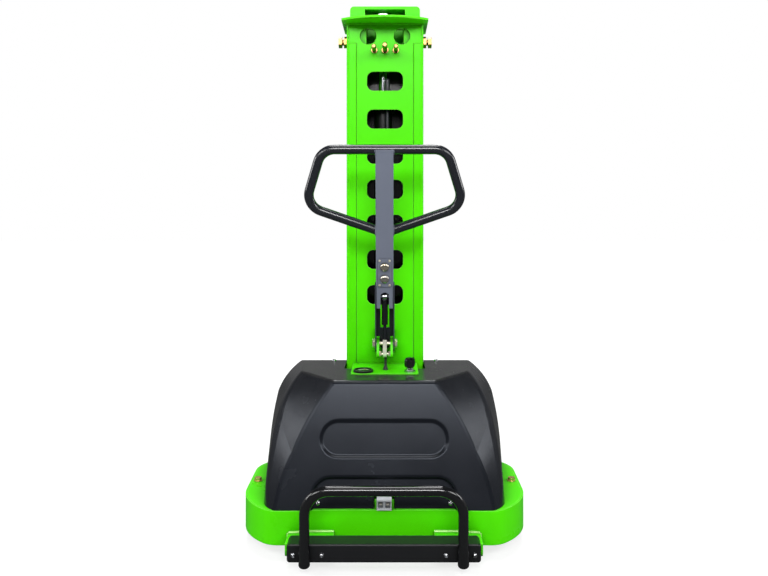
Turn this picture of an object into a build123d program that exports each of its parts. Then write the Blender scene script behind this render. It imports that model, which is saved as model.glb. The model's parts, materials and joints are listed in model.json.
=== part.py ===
from build123d import *
import os
from math import cos, radians, sin, sqrt, tan

# Driving dimensions, in millimetres.
# X is the width, Y runs from the operator towards the fork tips, Z is up from the floor.

# Base: deck plate with a skirt welded round it
OVERALL_WIDTH = 712.0
DECK_DEPTH = 386.0
DECK_TOP = 120.0
DECK_THICKNESS = 8.0
SKIRT_BOTTOM = 38.0
SKIRT_THICKNESS = 5.0
FRONT_FLAT_HALF = 150.0
LOBE_AHEAD = 8.0
LOBE_RADIUS = 57.0
SIDE_RADIUS = 180.0
SIDE_TURN = 50.0
BACK_CORNER_RADIUS = 100.0

# Bumper beam, its brackets and the guard hoop
BEAM_HALF_LENGTH = 224.0
BEAM_DEPTH = 51.0
BEAM_BOTTOM = 30.0
BEAM_HEIGHT = 42.0
BEAM_WALL = 4.0
BEAM_CORNER = 7.0
BRACKET_INNER_X = 120.0
BRACKET_PLATE = 6.0
BRACKET_SETBACK = 14.0
BRACKET_ROUND = 16.0
BEAM_SCREW_X = (143.6, 209.0)
HOOP_AHEAD = 95.0
HOOP_DIAMETER = 24.0
HOOP_WALL = 2.5
HOOP_FOOT_DIAMETER = 27.0
HOOP_FOOT_HEIGHT = 55.0
HOOP_FOOT_ROUND = 8.0
HOOP_HALF_SPAN = 182.0
HOOP_FOOT_Z = 24.0
HOOP_TOP_Z = 200.0
HOOP_BEND = 57.0

# Mast
SKIRT_TO_MAST = 298.0
MAST_WIDTH = 214.0
MAST_DEPTH = 120.0
MAST_TOP = 1354.0
RAIL_WEB = 7.0
RAIL_FLANGE = 8.0
RAIL_FLANGE_WIDTH = 28.0
RAIL_CORNER = 9.0
RAIL_EDGE = 3.0
PANEL_THICKNESS = 6.0
PANEL_RECESS = 1.0
PANEL_GROOVE = 0.5
PANEL_BOTTOM = 300.0
HEAD_PANEL_HEIGHT = 54.0
HEAD_PANEL_HALF = 101.0
WINDOW_COUNT = 7
WINDOW_PITCH = 97.5
WINDOW_DROP = 159.0
WINDOW_TOP_STEP = 105.3
WINDOW_WIDTH = 100.0
WINDOW_HEIGHT = 53.0
WINDOW_CORNER = 18.0
SIGHT_HOLE_DIAMETER = 46.0
SIGHT_HOLE_X = 47.0
SIGHT_HOLE_DROP = 34.0
TOP_PLATE_THICKNESS = 6.0
TOP_PLATE_HALF = 118.5
TOP_PLATE_AHEAD = 42.0
TOP_PLATE_ARCH = 44.0
TOP_PLATE_BACK = 23.0
TOP_PLATE_CORNER = 6.0
STUD_DROP = 73.0
STUD_X = 30.0
STUD_DIAMETERS = (12.0, 13.0, 12.0)
STUD_LENGTHS = (64.0, 84.0, 64.0)
STUD_WASHER = 3.0

# Inner mast, carriage and forks: one frame that rises together
SLIDE_GAP = 3.0
INNER_WEB = 6.0
INNER_FLANGE = 6.0
INNER_WEB_X = 52.0
INNER_BOTTOM = 130.0
INNER_TIP_GAP = 4.0
STUB_CUT_HEIGHT = 118.0
BACK_PLATE = 4.0
HEAD_HALF = 97.5
HEAD_HEIGHT = 45.0
HEAD_WALL = 8.0
HEAD_ROUND = 11.0
HEAD_SLOT_HALF = 56.0
HEAD_SKIRT = 90.0
CARRIAGE_GAP = 6.0
CARRIAGE_THICKNESS = 12.0
CARRIAGE_TOP = 335.0
CARRIAGE_BAR = 8.0
FORK_LENGTH = 1150.0
FORK_OUTER_HALF = 282.5
FORK_WIDTH = 190.0
FORK_TOP = 90.0
FORK_HEIGHT = 56.0
FORK_WALL = 6.0
FORK_NOSE_LENGTH = 170.0
FORK_NOSE_DROP = 34.0
FORK_NOSE_RADIUS = 60.0
GUSSET_LENGTH = 130.0
GUSSET_HEIGHT = 120.0

# Guide rollers of the mast
ROLLER_GAP = 0.3
UPPER_ROLLER_DROP = 40.0
ROLLER_WIDTH = 24.0
ROLLER_AXLE = 18.0
AXLE_WASHER = 2.0
AXLE_NUT = 8.0
AXLE_NECK = 5.0
AXLE_HEAD = 10.0
RUNNING_FIT = 0.05

# Lift cylinder
CYLINDER_X = -6.0
CYLINDER_DIAMETER = 50.0
CYLINDER_BORE = 40.0
CYLINDER_DROP = 222.0
GLAND_HEIGHT = 34.0
GLAND_DIAMETER = 56.0
ROD_DIAMETER = 25.0
PISTON_HEIGHT = 40.0
PIPE_X = 6.5
PIPE_DIAMETER = 10.0
FITTING_DIAMETER = 13.0
FITTING_DROP = 148.0
LOOP_PIPE_X = -2.0
LOOP_PIPE_HALF = 34.0
LOOP_PIPE_DIAMETER = 12.0

# Support legs with load rollers
LEG_WIDTH = 95.0
LEG_BOTTOM = 20.0
LEG_HEIGHT = 50.0
LEG_WALL = 6.0
LEG_ROOT_DEPTH = 58.0
LEG_TIP_BACK = 136.0
LOAD_ROLLER_DIAMETER = 74.0
LOAD_ROLLER_WIDTH = 70.0
LOAD_ROLLER_BACK = 186.0
LOAD_AXLE = 18.0
CHEEK = 10.0

# Swivel casters under the deck
CASTER_INSET = 66.0
CASTER_BACK = 250.0
CASTER_WHEEL_DIAMETER = 72.0
CASTER_WHEEL_WIDTH = 26.0
CASTER_TRAIL = 20.0
CASTER_PLATE = (110.0, 114.0)
CASTER_PLATE_THICKNESS = 7.0
CASTER_FRONT_BOLT_X = 46.0
CASTER_REAR_BOLT_X = 15.0
CASTER_BOLT_Y = 48.0
CASTER_BOLT = 10.0
CASTER_WASHER = 2.0
CASTER_WASHER_RATIO = 2.16
RACE_DIAMETER = 58.0
KING_PIN = 16.0
CASTER_AXLE = 12.0
YOKE_PLATE = 4.0
YOKE_GAP = 2.0

# Cover: three sections, each set in from the side of the base at its bottom, shoulder and top
COVER_WALL = 4.0
COVER_TOP = 410.0
COVER_BACK = 352.0
FACET_AHEAD = 5.0
FACET_LEAN = 0.33
FACET_INSETS = (91.0, 130.0, 230.0)
FACET_SHOULDER_Z = 243.0
CORNER_BACK = 25.0
CORNER_LEAN = 0.624
CORNER_INSETS = (62.0, 81.0, 134.0)
CORNER_SHOULDER_Z = 312.0
BACK_INSETS = (26.0, 53.0, 119.0)
BACK_SHOULDER_Z = 325.0
SIDE_BULGE = 6.0
SHOULDER_BULGE = 8.0
EDGE_ROUND = 14.0
CORNER_ROUND = 60.0
POCKET_WIDTH = 318.0
POCKET_HEIGHT = 92.0
POCKET_Z = 276.0
POCKET_DEPTH = 4.5
POCKET_SLOPE = 58.0
POCKET_ROUND = 7.0
ARCH_HALF = 172.0
ARCH_TOP = 186.0
ARCH_DEPTH = 12.0
ARCH_CORNER = 42.0
ARCH_ROUND = 8.0
ARCH_FLOOR_ROUND = 3.0
COVER_SCREW_X = 161.0
COVER_SCREW_Z = 132.0
TOP_SCREW_X = 144.0
TOP_SCREW_INSET = 8.0
MAST_NOTCH_GAP = 2.0
MAST_NOTCH_AHEAD = 62.0
BULKHEAD = 8.0
BULKHEAD_GAP = 0.3

# Instruments on the shelf
SHELF_HALF = 88.0
SHELF_DEPTH = 140.0
SHELF_THICKNESS = 3.0
SHELF_LAP = 5.0
GAUGE_X = -56.5
GAUGE_AHEAD = 112.0
GAUGE_DIAMETER = 52.5
GAUGE_LENS = 43.0
GAUGE_HEIGHT = 6.0
GAUGE_DEPTH = 30.0
SWITCH_X = 66.0
SWITCH_AHEAD = 112.0
SWITCH_DIAMETER = 22.0
SWITCH_BARREL = 18.0
KEY_BLADE = (8.0, 2.5)
KEY_HEAD = (28.0, 27.0, 10.0)
KEY_REST_TURN = 40.0
CABLE_X = 2.0
CABLE_AHEAD = 88.0
CABLE_DIAMETER = 7.0
CABLE_CORNER_Z = 428.0
CABLE_END_Z = 446.0
CABLE_BEND = 20.0
BOOT_DIAMETER = 15.0
BOOT_HEIGHT = 11.0

# Tiller, built upright along Z from its pivot and then leaned towards the operator
PIVOT_AHEAD = 60.0
PIVOT_Z = 478.0
TILLER_LEAN = 15.0
BAR_WIDTH = 46.0
BAR_DEPTH = 30.0
BAR_WALL = 3.0
BAR_FOOT = 107.0
BAR_TOP = 535.0
BAR_SLOT_WIDTH = 22.5
BAR_SLOT_TOP = 152.0
LOOP_DIAMETER = 25.0
LOOP_WALL = 2.0
LOOP_TOP = 533.0
LOOP_TOP_HALF = 159.0
LOOP_WIDE_HALF = 205.0
LOOP_WIDE_Z = 386.0
LOOP_ARM_Z = 320.0
LOOP_BEND = 45.0
YOKE_SIDE_PLATE = 3.0
YOKE_DEPTH = 32.0
YOKE_TOP = 170.0
YOKE_TAIL = 7.0
WEB_FOOT = 15.0
WEB_SOLID_TOP = 40.0
WEB_TAIL = 20.0
WEB_SLOT_WIDTH = 24.0
WEB_THICKNESS = 4.0
PIVOT_PIN = 10.0
PIVOT_NUT = 21.0
EAR_GAP = 1.0
EAR_THICKNESS = 7.0
EAR_RADIUS = 13.0
EAR_HEIGHT = 52.0
TILLER_BASE = (53.0, 66.0, 8.0)
TILLER_BASE_Z = 441.0
BUTTON_Z = (191.5, 224.5)
BUTTON_DIAMETER = 23.0
BUTTON_RISE = 8.0
BUTTON_TRAVEL = 3.0
BUTTON_GAP = 0.3
PLATE_SIZE = (36.0, 78.0, 2.5)
PLATE_Z = 207.5
RIVET_X = 13.0
RIVET_Z = 33.8
RIVET_DIAMETER = 6.0

# Gas strut of the tiller, between a pin in the bar and the lower pin in the ears
STRUT_TOP = (-4.0, 137.0)
STRUT_FOOT = (-17.0, -23.0)
STRUT_PIN = 8.0
STRUT_EYE_GAP = 3.0
STRUT_TUBE = 16.0
STRUT_TUBE_START = 9.0
STRUT_TUBE_END = 77.0
STRUT_ROD = 8.0
STRUT_ROD_INSIDE = 33.0
STRUT_BLOCK = (10.6, 18.5)
STRUT_BLOCK_LENGTH = 42.0

# Power pack under the cover
BATTERY_SIZE = (140.0, 200.0)
BATTERY_INNER_X = 45.0
BATTERY_GAP = 8.2
TANK_SIZE = (130.0, 120.0, 110.0)
TANK_X = 125.0
VALVE_SIZE = (90.0, 80.0, 45.0)
MOTOR_DIAMETER = 84.0
MOTOR_HEIGHT = 105.0
PACK_BACK_GAP = 14.0
HOSE_DIAMETER = 12.0
HOSE_BEND = 28.0
PORT_Z = 150.0

# Charging connector at the foot of the cover
PLUG_WIDTH = 36.0
PLUG_HEIGHT = 25.0
PLUG_LENGTH = 40.0
PLUG_AHEAD = 4.0
PLUG_MOUTH = (13.0, 17.0, 16.0)
PLUG_MOUTH_X = 8.5
TAB_HALF = 22.5
TAB_HEIGHT = 23.0
TAB_THICKNESS = 3.0
TAB_BACK = 6.0
NOTCH_GAP = 3.0
NOTCH_RISE = 8.0

# Screws
SCREW_HEAD = 13.0
SCREW_HEAD_HEIGHT = 4.5
SCREW_SHANK = 7.0
SCREW_LENGTH = 11.0
BOLT_HEAD_RATIO = 1.6
NUT_RATIO = 0.7

# Places along Y that follow from the sizes above, with the origin at the middle of the length
HOOP_REACH = HOOP_AHEAD + HOOP_FOOT_DIAMETER / 2
BODY_LENGTH = SKIRT_TO_MAST + MAST_DEPTH + CARRIAGE_GAP + CARRIAGE_THICKNESS
OVERALL_LENGTH = HOOP_REACH + BODY_LENGTH + FORK_LENGTH
SKIRT_Y = HOOP_REACH - OVERALL_LENGTH / 2
DECK_BACK_Y = SKIRT_Y + DECK_DEPTH - SKIRT_THICKNESS
MAST_Y = SKIRT_Y + SKIRT_TO_MAST
MAST_BACK_Y = MAST_Y + MAST_DEPTH
MAST_MID_Y = MAST_Y + MAST_DEPTH / 2
CARRIAGE_Y = MAST_BACK_Y + CARRIAGE_GAP
FORK_ROOT_Y = CARRIAGE_Y + CARRIAGE_THICKNESS
FORK_TIP_Y = FORK_ROOT_Y + FORK_LENGTH
PANEL_Y = MAST_Y + PANEL_RECESS
BEAM_Y = SKIRT_Y - HOOP_AHEAD + HOOP_DIAMETER / 2
BEAM_TOP = BEAM_BOTTOM + BEAM_HEIGHT
COVER_BACK_Y = SKIRT_Y + COVER_BACK
PIVOT_Y = MAST_Y - PIVOT_AHEAD
CASTER_Y = SKIRT_Y + CASTER_BACK
CASTER_X = OVERALL_WIDTH / 2 - CASTER_INSET
SHELF_TOP = COVER_TOP + SHELF_THICKNESS
EAR_OUTER_X = BAR_WIDTH / 2 - EAR_GAP
EAR_INNER_X = EAR_OUTER_X - EAR_THICKNESS

# Heights under the mast's top that follow from the sizes above
HEAD_PANEL_BOTTOM = MAST_TOP - HEAD_PANEL_HEIGHT
WINDOW_TOP_Z = MAST_TOP - WINDOW_DROP
SIGHT_HOLE_Z = MAST_TOP - SIGHT_HOLE_DROP
STUD_Z = MAST_TOP - STUD_DROP
UPPER_ROLLER_Z = MAST_TOP - UPPER_ROLLER_DROP
CYLINDER_TOP = MAST_TOP - CYLINDER_DROP
FITTING_TOP = MAST_TOP - FITTING_DROP

# Sizes across the mast that follow from the sizes above
MAST_HALF = MAST_WIDTH / 2
RAIL_INSIDE_X = MAST_HALF - RAIL_WEB
FLANGE_EDGE_X = MAST_HALF - RAIL_FLANGE_WIDTH
TRACK_DEPTH = MAST_DEPTH - 2 * RAIL_FLANGE
INNER_DEPTH = TRACK_DEPTH - 2 * SLIDE_GAP
INNER_CLEAR = INNER_DEPTH - 2 * INNER_FLANGE
INNER_EDGE_X = RAIL_INSIDE_X - INNER_TIP_GAP
INNER_OUT_X = INNER_WEB_X + INNER_WEB
UPPER_ROLLER_DIAMETER = INNER_CLEAR - 2 * ROLLER_GAP
LOWER_ROLLER_DIAMETER = TRACK_DEPTH - 2 * ROLLER_GAP
LOWER_ROLLER_Z = INNER_BOTTOM + STUB_CUT_HEIGHT / 2
HEAD_BOTTOM = MAST_TOP + TOP_PLATE_THICKNESS
HEAD_ROOF = HEAD_BOTTOM + HEAD_HEIGHT - HEAD_WALL
LEG_X = FORK_OUTER_HALF - FORK_WIDTH / 2
LEG_TIP_Y = FORK_TIP_Y - LEG_TIP_BACK
LOAD_ROLLER_Y = FORK_TIP_Y - LOAD_ROLLER_BACK


def block(x, y, z):
    """A box between two limits on each axis."""
    centre = Pos((x[0] + x[1]) / 2, (y[0] + y[1]) / 2, (z[0] + z[1]) / 2)
    return centre * Box(x[1] - x[0], y[1] - y[0], z[1] - z[0])


def bar(start, end, diameter):
    """A round bar between two points."""
    start = Vector(start)
    run = Vector(end) - start
    align = (Align.CENTER, Align.CENTER, Align.MIN)
    return Plane(origin=start, z_dir=run) * Cylinder(diameter / 2, run.length, align=align)


def along_x(sketch, x_low, x_high):
    """A sketch drawn in Y and Z, thickened between two places on X."""
    return Pos(x_low, 0, 0) * extrude(Plane.YZ * sketch, x_high - x_low)


def along_y(sketch, y_low, y_high):
    """A sketch drawn in X and Z, thickened between two places on Y."""
    return Pos(0, y_high, 0) * extrude(Plane.XZ * sketch, y_high - y_low)


def along_z(sketch, z_low, z_high):
    """A sketch drawn in X and Y, thickened between two heights."""
    return Pos(0, 0, z_low) * extrude(sketch, z_high - z_low)


def hexagon(start, end, across):
    """A hexagonal prism between two points."""
    start = Vector(start)
    run = Vector(end) - start
    outline = RegularPolygon(across / 2, 6, major_radius=False)
    return extrude(Plane(origin=start, z_dir=run) * outline, run.length)


def pipe(points, bend, diameter):
    """A round bar bent along straight runs joined by arcs."""
    path = FilletPolyline(*points, radius=bend)
    return sweep(Plane(origin=path @ 0, z_dir=path % 0) * Circle(diameter / 2), path)


def tube(points, bend, diameter, wall):
    """A round tube bent along straight runs joined by arcs."""
    path = FilletPolyline(*points, radius=bend)
    ring = Circle(diameter / 2) - Circle(diameter / 2 - wall)
    return sweep(Plane(origin=path @ 0, z_dir=path % 0) * ring, path)


def other_side(shape):
    """The same shape on the other side of the middle."""
    return mirror(shape, about=Plane.YZ)


def both_sides(shape):
    """A shape and its mirror image."""
    return [shape, other_side(shape)]


def button_screw(place):
    """A button-head screw whose head stands on the plane."""
    dome_radius = (SCREW_HEAD ** 2 / 4 + SCREW_HEAD_HEIGHT ** 2) / (2 * SCREW_HEAD_HEIGHT)
    dome = Pos(0, 0, SCREW_HEAD_HEIGHT - dome_radius) * Sphere(dome_radius)
    above = (Align.CENTER, Align.CENTER, Align.MIN)
    below = (Align.CENTER, Align.CENTER, Align.MAX)
    head = dome & Cylinder(SCREW_HEAD, SCREW_HEAD_HEIGHT, align=above)
    socket = extrude(RegularPolygon(SCREW_SHANK / 3, 6), SCREW_HEAD_HEIGHT * 2)
    shank = Cylinder(SCREW_SHANK / 2, SCREW_LENGTH, align=below)
    return place * (head - Pos(0, 0, SCREW_HEAD_HEIGHT / 2) * socket + shank)


# Base


def skirt_outline():
    """The base seen from above: set-back middle, two lobes and large rounded corners."""
    half = OVERALL_WIDTH / 2
    turn = radians(90 - SIDE_TURN)
    lobe_x = half - SIDE_RADIUS + (SIDE_RADIUS - LOBE_RADIUS) * sin(turn)
    lobe = Vector(lobe_x, SKIRT_Y - LOBE_AHEAD)
    corner = lobe + Vector(LOBE_RADIUS * sin(turn), LOBE_RADIUS * (1 - cos(turn)))
    side = Vector(half, corner.Y + SIDE_RADIUS * cos(turn))
    back = SKIRT_Y + DECK_DEPTH
    flat = Vector(FRONT_FLAT_HALF, SKIRT_Y)
    middle = (flat + lobe) * 0.5
    back_start = Vector(half, back - BACK_CORNER_RADIUS)
    back_end = Vector(half - BACK_CORNER_RADIUS, back)
    right = Curve() + [
        Line((0, SKIRT_Y), flat),
        TangentArc(flat, middle, tangent=(1, 0)),
        TangentArc(lobe, middle, tangent=(-1, 0)),
        TangentArc(lobe, corner, tangent=(1, 0)),
        TangentArc(side, corner, tangent=(0, -1)),
        Line(side, back_start),
        TangentArc(back_start, back_end, tangent=(0, 1)),
        Line(back_end, (0, back)),
    ]
    return make_face(right + other_side(right))


def plug_box(gap):
    """The body of the charging connector, with a gap all round."""
    half = PLUG_WIDTH / 2 + gap
    front = SKIRT_Y - PLUG_AHEAD
    return block((-half, half), (front, front + PLUG_LENGTH), (DECK_TOP, DECK_TOP + PLUG_HEIGHT + gap))


def caster_bolt_places():
    """The deck places of the bolts over one caster."""
    return [
        (CASTER_X + side * x, CASTER_Y + y)
        for x, y in ((CASTER_FRONT_BOLT_X, -CASTER_BOLT_Y), (CASTER_REAR_BOLT_X, CASTER_BOLT_Y))
        for side in (-1, 1)
    ]


def deck_plate():
    inside = offset(skirt_outline(), amount=-SKIRT_THICKNESS)
    plate = along_z(inside, DECK_TOP - DECK_THICKNESS, DECK_TOP)
    tongue_z = (DECK_TOP - DECK_THICKNESS, DECK_TOP)
    plate += block((-MAST_HALF, MAST_HALF), (MAST_Y, MAST_BACK_Y), tongue_z)
    tab_y = SKIRT_Y + TAB_BACK
    tab = block((-TAB_HALF, TAB_HALF), (tab_y, tab_y + TAB_THICKNESS), (DECK_TOP, DECK_TOP + TAB_HEIGHT))
    plate += tab - plug_box(0)
    for x, y in caster_bolt_places():
        hole = bar((x, y, 0), (x, y, DECK_TOP + 1), CASTER_BOLT)
        plate -= Compound(both_sides(hole))
    return plate


def skirt_band():
    outline = skirt_outline()
    band = along_z(outline, SKIRT_BOTTOM, DECK_TOP)
    band -= along_z(offset(outline, amount=-SKIRT_THICKNESS), SKIRT_BOTTOM, DECK_TOP)
    open_half = OVERALL_WIDTH / 2 - BACK_CORNER_RADIUS
    back = SKIRT_Y + DECK_DEPTH
    return band - block((-open_half, open_half), (back - 2 * SKIRT_THICKNESS, back), (SKIRT_BOTTOM, DECK_TOP))


def bumper_bracket():
    """A welded bracket: a flange into the beam, a screw tab behind its face and a plate at its end."""
    top = BEAM_TOP - BEAM_WALL
    flange_z = (top - BRACKET_PLATE, top)
    beam_back = BEAM_Y + BEAM_DEPTH
    tab_y = BEAM_Y + BEAM_WALL
    inside_x = BEAM_HALF_LENGTH - BEAM_WALL
    outer_x = BEAM_HALF_LENGTH + BRACKET_PLATE
    weld_y = SKIRT_Y + SKIRT_THICKNESS
    bracket = block((BRACKET_INNER_X, inside_x), (tab_y, weld_y), flange_z)
    bracket += block((inside_x - BRACKET_PLATE, outer_x), (beam_back, weld_y), flange_z)
    tab_z = (BEAM_BOTTOM + BEAM_WALL, top)
    bracket += block((BRACKET_INNER_X, inside_x), (tab_y, tab_y + BRACKET_PLATE), tab_z)
    end = block((BEAM_HALF_LENGTH, outer_x), (BEAM_Y + BRACKET_SETBACK, weld_y), tab_z)
    low_front = end.edges().filter_by(Axis.X).group_by(Axis.Y)[0].sort_by(Axis.Z)[0]
    bracket += fillet(low_front, BRACKET_ROUND)
    bracket -= along_z(skirt_outline(), SKIRT_BOTTOM - BEAM_BOTTOM, DECK_TOP)
    for place in beam_screw_places():
        bracket -= bar(place, (place[0], place[1] + SCREW_LENGTH, place[2]), SCREW_SHANK)
    return bracket


def beam_screw_places():
    middle = BEAM_BOTTOM + BEAM_HEIGHT / 2 - BEAM_WALL
    return [(x, BEAM_Y, middle) for x in BEAM_SCREW_X]


def bumper_beam():
    """A folded channel, open towards the skirt, with closed ends."""
    outline = RectangleRounded(2 * BEAM_HALF_LENGTH, BEAM_HEIGHT, BEAM_CORNER)
    middle = BEAM_BOTTOM + BEAM_HEIGHT / 2
    beam = along_y(Pos(0, middle) * outline, BEAM_Y, BEAM_Y + BEAM_DEPTH)
    front_edges = beam.edges().filter_by_position(Axis.Y, BEAM_Y - 0.1, BEAM_Y + 0.1)
    beam = fillet(front_edges, BEAM_CORNER / 2)
    hollow_x = BEAM_HALF_LENGTH - BEAM_WALL
    hollow_z = (BEAM_BOTTOM + BEAM_WALL, BEAM_TOP - BEAM_WALL)
    beam -= block((-hollow_x, hollow_x), (BEAM_Y + BEAM_WALL, BEAM_Y + BEAM_DEPTH), hollow_z)
    for place in beam_screw_places():
        hole = bar(place, (place[0], place[1] + SCREW_LENGTH, place[2]), SCREW_SHANK)
        beam -= Compound(both_sides(hole))
    return beam


def guard_hoop():
    """A bent tube whose lower ends widen into closed feet, flattened where they meet the beam."""
    y = SKIRT_Y - HOOP_AHEAD
    points = [
        (-HOOP_HALF_SPAN, y, HOOP_FOOT_Z + HOOP_FOOT_HEIGHT),
        (-HOOP_HALF_SPAN, y, HOOP_TOP_Z),
        (HOOP_HALF_SPAN, y, HOOP_TOP_Z),
        (HOOP_HALF_SPAN, y, HOOP_FOOT_Z + HOOP_FOOT_HEIGHT),
    ]
    hoop = tube(points, HOOP_BEND, HOOP_DIAMETER, HOOP_WALL)
    foot = Cone(
        HOOP_FOOT_DIAMETER / 2,
        HOOP_DIAMETER / 2,
        HOOP_FOOT_HEIGHT,
        align=(Align.CENTER, Align.CENTER, Align.MIN),
    )
    foot = fillet(foot.edges().sort_by(Axis.Z)[0], HOOP_FOOT_ROUND)
    foot = Pos(HOOP_HALF_SPAN, y, HOOP_FOOT_Z) * foot
    beam_x = (-BEAM_HALF_LENGTH, BEAM_HALF_LENGTH)
    beam_room = block(beam_x, (BEAM_Y, BEAM_Y + BEAM_DEPTH), (BEAM_BOTTOM, BEAM_TOP))
    return hoop + both_sides(foot) - beam_room


# Support legs


def support_leg():
    """A box beam from under the deck to the load roller, with a root box beside the mast."""
    x = (LEG_X - LEG_WIDTH / 2, LEG_X + LEG_WIDTH / 2)
    z = (LEG_BOTTOM, LEG_BOTTOM + LEG_HEIGHT)
    root_y = DECK_BACK_Y - LEG_ROOT_DEPTH
    slot_y = LOAD_ROLLER_Y - LOAD_ROLLER_DIAMETER / 2 - CHEEK
    leg = block(x, (root_y, LEG_TIP_Y), z)
    leg += block((MAST_HALF, x[1]), (root_y, DECK_BACK_Y), (LEG_BOTTOM, DECK_TOP - DECK_THICKNESS))
    tip = leg.edges().filter_by(Axis.X).group_by(Axis.Y)[-1]
    leg = fillet(tip, LEG_HEIGHT / 3)
    inside_x = (x[0] + LEG_WALL, x[1] - LEG_WALL)
    inside_z = (z[0] + LEG_WALL, z[1] - LEG_WALL)
    leg -= block(inside_x, (root_y, slot_y - LEG_WALL), inside_z)
    leg -= block((x[0] + CHEEK, x[1] - CHEEK), (slot_y, LEG_TIP_Y), z)
    return leg - load_axle()


def load_axle():
    z = LOAD_ROLLER_DIAMETER / 2
    half = LEG_WIDTH / 2
    return bar((LEG_X - half, LOAD_ROLLER_Y, z), (LEG_X + half, LOAD_ROLLER_Y, z), LOAD_AXLE)


def load_roller():
    z = LOAD_ROLLER_DIAMETER / 2
    half = LOAD_ROLLER_WIDTH / 2
    ends = ((LEG_X - half, LOAD_ROLLER_Y, z), (LEG_X + half, LOAD_ROLLER_Y, z))
    roller = bar(*ends, LOAD_ROLLER_DIAMETER)
    roller = fillet(roller.edges(), LEG_WALL)
    return roller - bar(*ends, LOAD_AXLE + 2 * RUNNING_FIT)


# Casters


def caster_top_plate():
    """A bolted plate with a bearing race and the bore for the king pin."""
    top = DECK_TOP - DECK_THICKNESS
    plate_z = top - CASTER_PLATE_THICKNESS
    plate = RectangleRounded(*CASTER_PLATE, CASTER_BOLT)
    shape = Pos(CASTER_X, CASTER_Y, plate_z) * extrude(plate, CASTER_PLATE_THICKNESS)
    shape += bar((CASTER_X, CASTER_Y, race_bottom()), (CASTER_X, CASTER_Y, plate_z), RACE_DIAMETER)
    shape -= bar((CASTER_X, CASTER_Y, 0), (CASTER_X, CASTER_Y, top), KING_PIN + 2 * RUNNING_FIT)
    for x, y in caster_bolt_places():
        shape -= bar((x, y, 0), (x, y, top), CASTER_BOLT)
    return shape


def race_bottom():
    return DECK_TOP - DECK_THICKNESS - 2 * CASTER_PLATE_THICKNESS


def caster_axle_ends(half):
    y = CASTER_Y - CASTER_TRAIL
    z = CASTER_WHEEL_DIAMETER / 2
    return (CASTER_X - half, y, z), (CASTER_X + half, y, z)


def caster_yoke():
    """The swivelling fork with its king pin, and the axle bolt through its two plates."""
    crown_top = race_bottom() - ROLLER_GAP
    crown_low = CASTER_WHEEL_DIAMETER + 2 * ROLLER_GAP + YOKE_PLATE
    inner = CASTER_WHEEL_WIDTH / 2 + YOKE_GAP
    outer = inner + YOKE_PLATE
    crown = bar((CASTER_X, CASTER_Y, crown_low), (CASTER_X, CASTER_Y, crown_top), RACE_DIAMETER)
    pin_top = DECK_TOP - DECK_THICKNESS - ROLLER_GAP
    crown += bar((CASTER_X, CASTER_Y, crown_low), (CASTER_X, CASTER_Y, pin_top), KING_PIN)
    axle_y = CASTER_Y - CASTER_TRAIL
    axle_z = CASTER_WHEEL_DIAMETER / 2
    shoulder = RACE_DIAMETER / 2 - YOKE_PLATE
    side = make_hull(
        (Pos(axle_y, axle_z) * Circle(CASTER_AXLE)).edges()
        + Line((CASTER_Y - shoulder, crown_low), (CASTER_Y + shoulder / 2, crown_low)).edges()
    )
    yoke = crown
    for low in (inner, -outer):
        yoke += along_x(side, CASTER_X + low, CASTER_X + low + YOKE_PLATE)
    axle = bar(*caster_axle_ends(outer), CASTER_AXLE)
    yoke -= axle
    ends = caster_axle_ends(outer)
    for end, out in zip(ends, (-1, 1)):
        tip = (end[0] + out * CASTER_AXLE / 2, end[1], end[2])
        axle += hexagon(end, tip, CASTER_AXLE * BOLT_HEAD_RATIO)
    return yoke, axle


def caster_wheel():
    ends = caster_axle_ends(CASTER_WHEEL_WIDTH / 2)
    wheel = bar(*ends, CASTER_WHEEL_DIAMETER)
    wheel = fillet(wheel.edges(), YOKE_PLATE)
    dish = CASTER_WHEEL_DIAMETER * 0.62
    for end, out in zip(ends, (1, -1)):
        recess_end = (end[0] + out * YOKE_PLATE, end[1], end[2])
        wheel -= bar(end, recess_end, dish) - bar(end, recess_end, CASTER_AXLE * 2)
    return wheel - bar(*ends, CASTER_AXLE + 2 * RUNNING_FIT)


def caster_bolts():
    bolts = []
    head = CASTER_BOLT * BOLT_HEAD_RATIO
    low = DECK_TOP - DECK_THICKNESS - CASTER_PLATE_THICKNESS
    for x, y in caster_bolt_places():
        seat = DECK_TOP + CASTER_WASHER
        washer = bar((x, y, DECK_TOP), (x, y, seat), CASTER_WASHER_RATIO * CASTER_BOLT)
        bolt = bar((x, y, low), (x, y, seat), CASTER_BOLT)
        bolt += washer + hexagon((x, y, seat), (x, y, seat + NUT_RATIO * CASTER_BOLT), head)
        bolts += both_sides(bolt)
    return bolts


# Mast


def mast_channel():
    """A rail that opens inwards, with its front flange cut away behind the head panel."""
    outer = Pos(MAST_HALF - RAIL_FLANGE_WIDTH / 2, MAST_MID_Y) * Rectangle(RAIL_FLANGE_WIDTH, MAST_DEPTH)
    outer = fillet(outer.vertices().group_by(Axis.X)[-1], RAIL_CORNER)
    outer = fillet(outer.vertices().group_by(Axis.X)[0], RAIL_EDGE)
    hollow_width = RAIL_FLANGE_WIDTH - RAIL_WEB
    hollow = Pos(FLANGE_EDGE_X + hollow_width / 2, MAST_MID_Y) * Rectangle(hollow_width, TRACK_DEPTH)
    rail = along_z(outer - hollow, DECK_TOP, MAST_TOP)
    rail -= block((0, HEAD_PANEL_HALF), (MAST_Y, MAST_Y + RAIL_FLANGE), (HEAD_PANEL_BOTTOM, MAST_TOP))
    return rail - bar((0, MAST_MID_Y, UPPER_ROLLER_Z), (MAST_HALF, MAST_MID_Y, UPPER_ROLLER_Z), ROLLER_AXLE)


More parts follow.
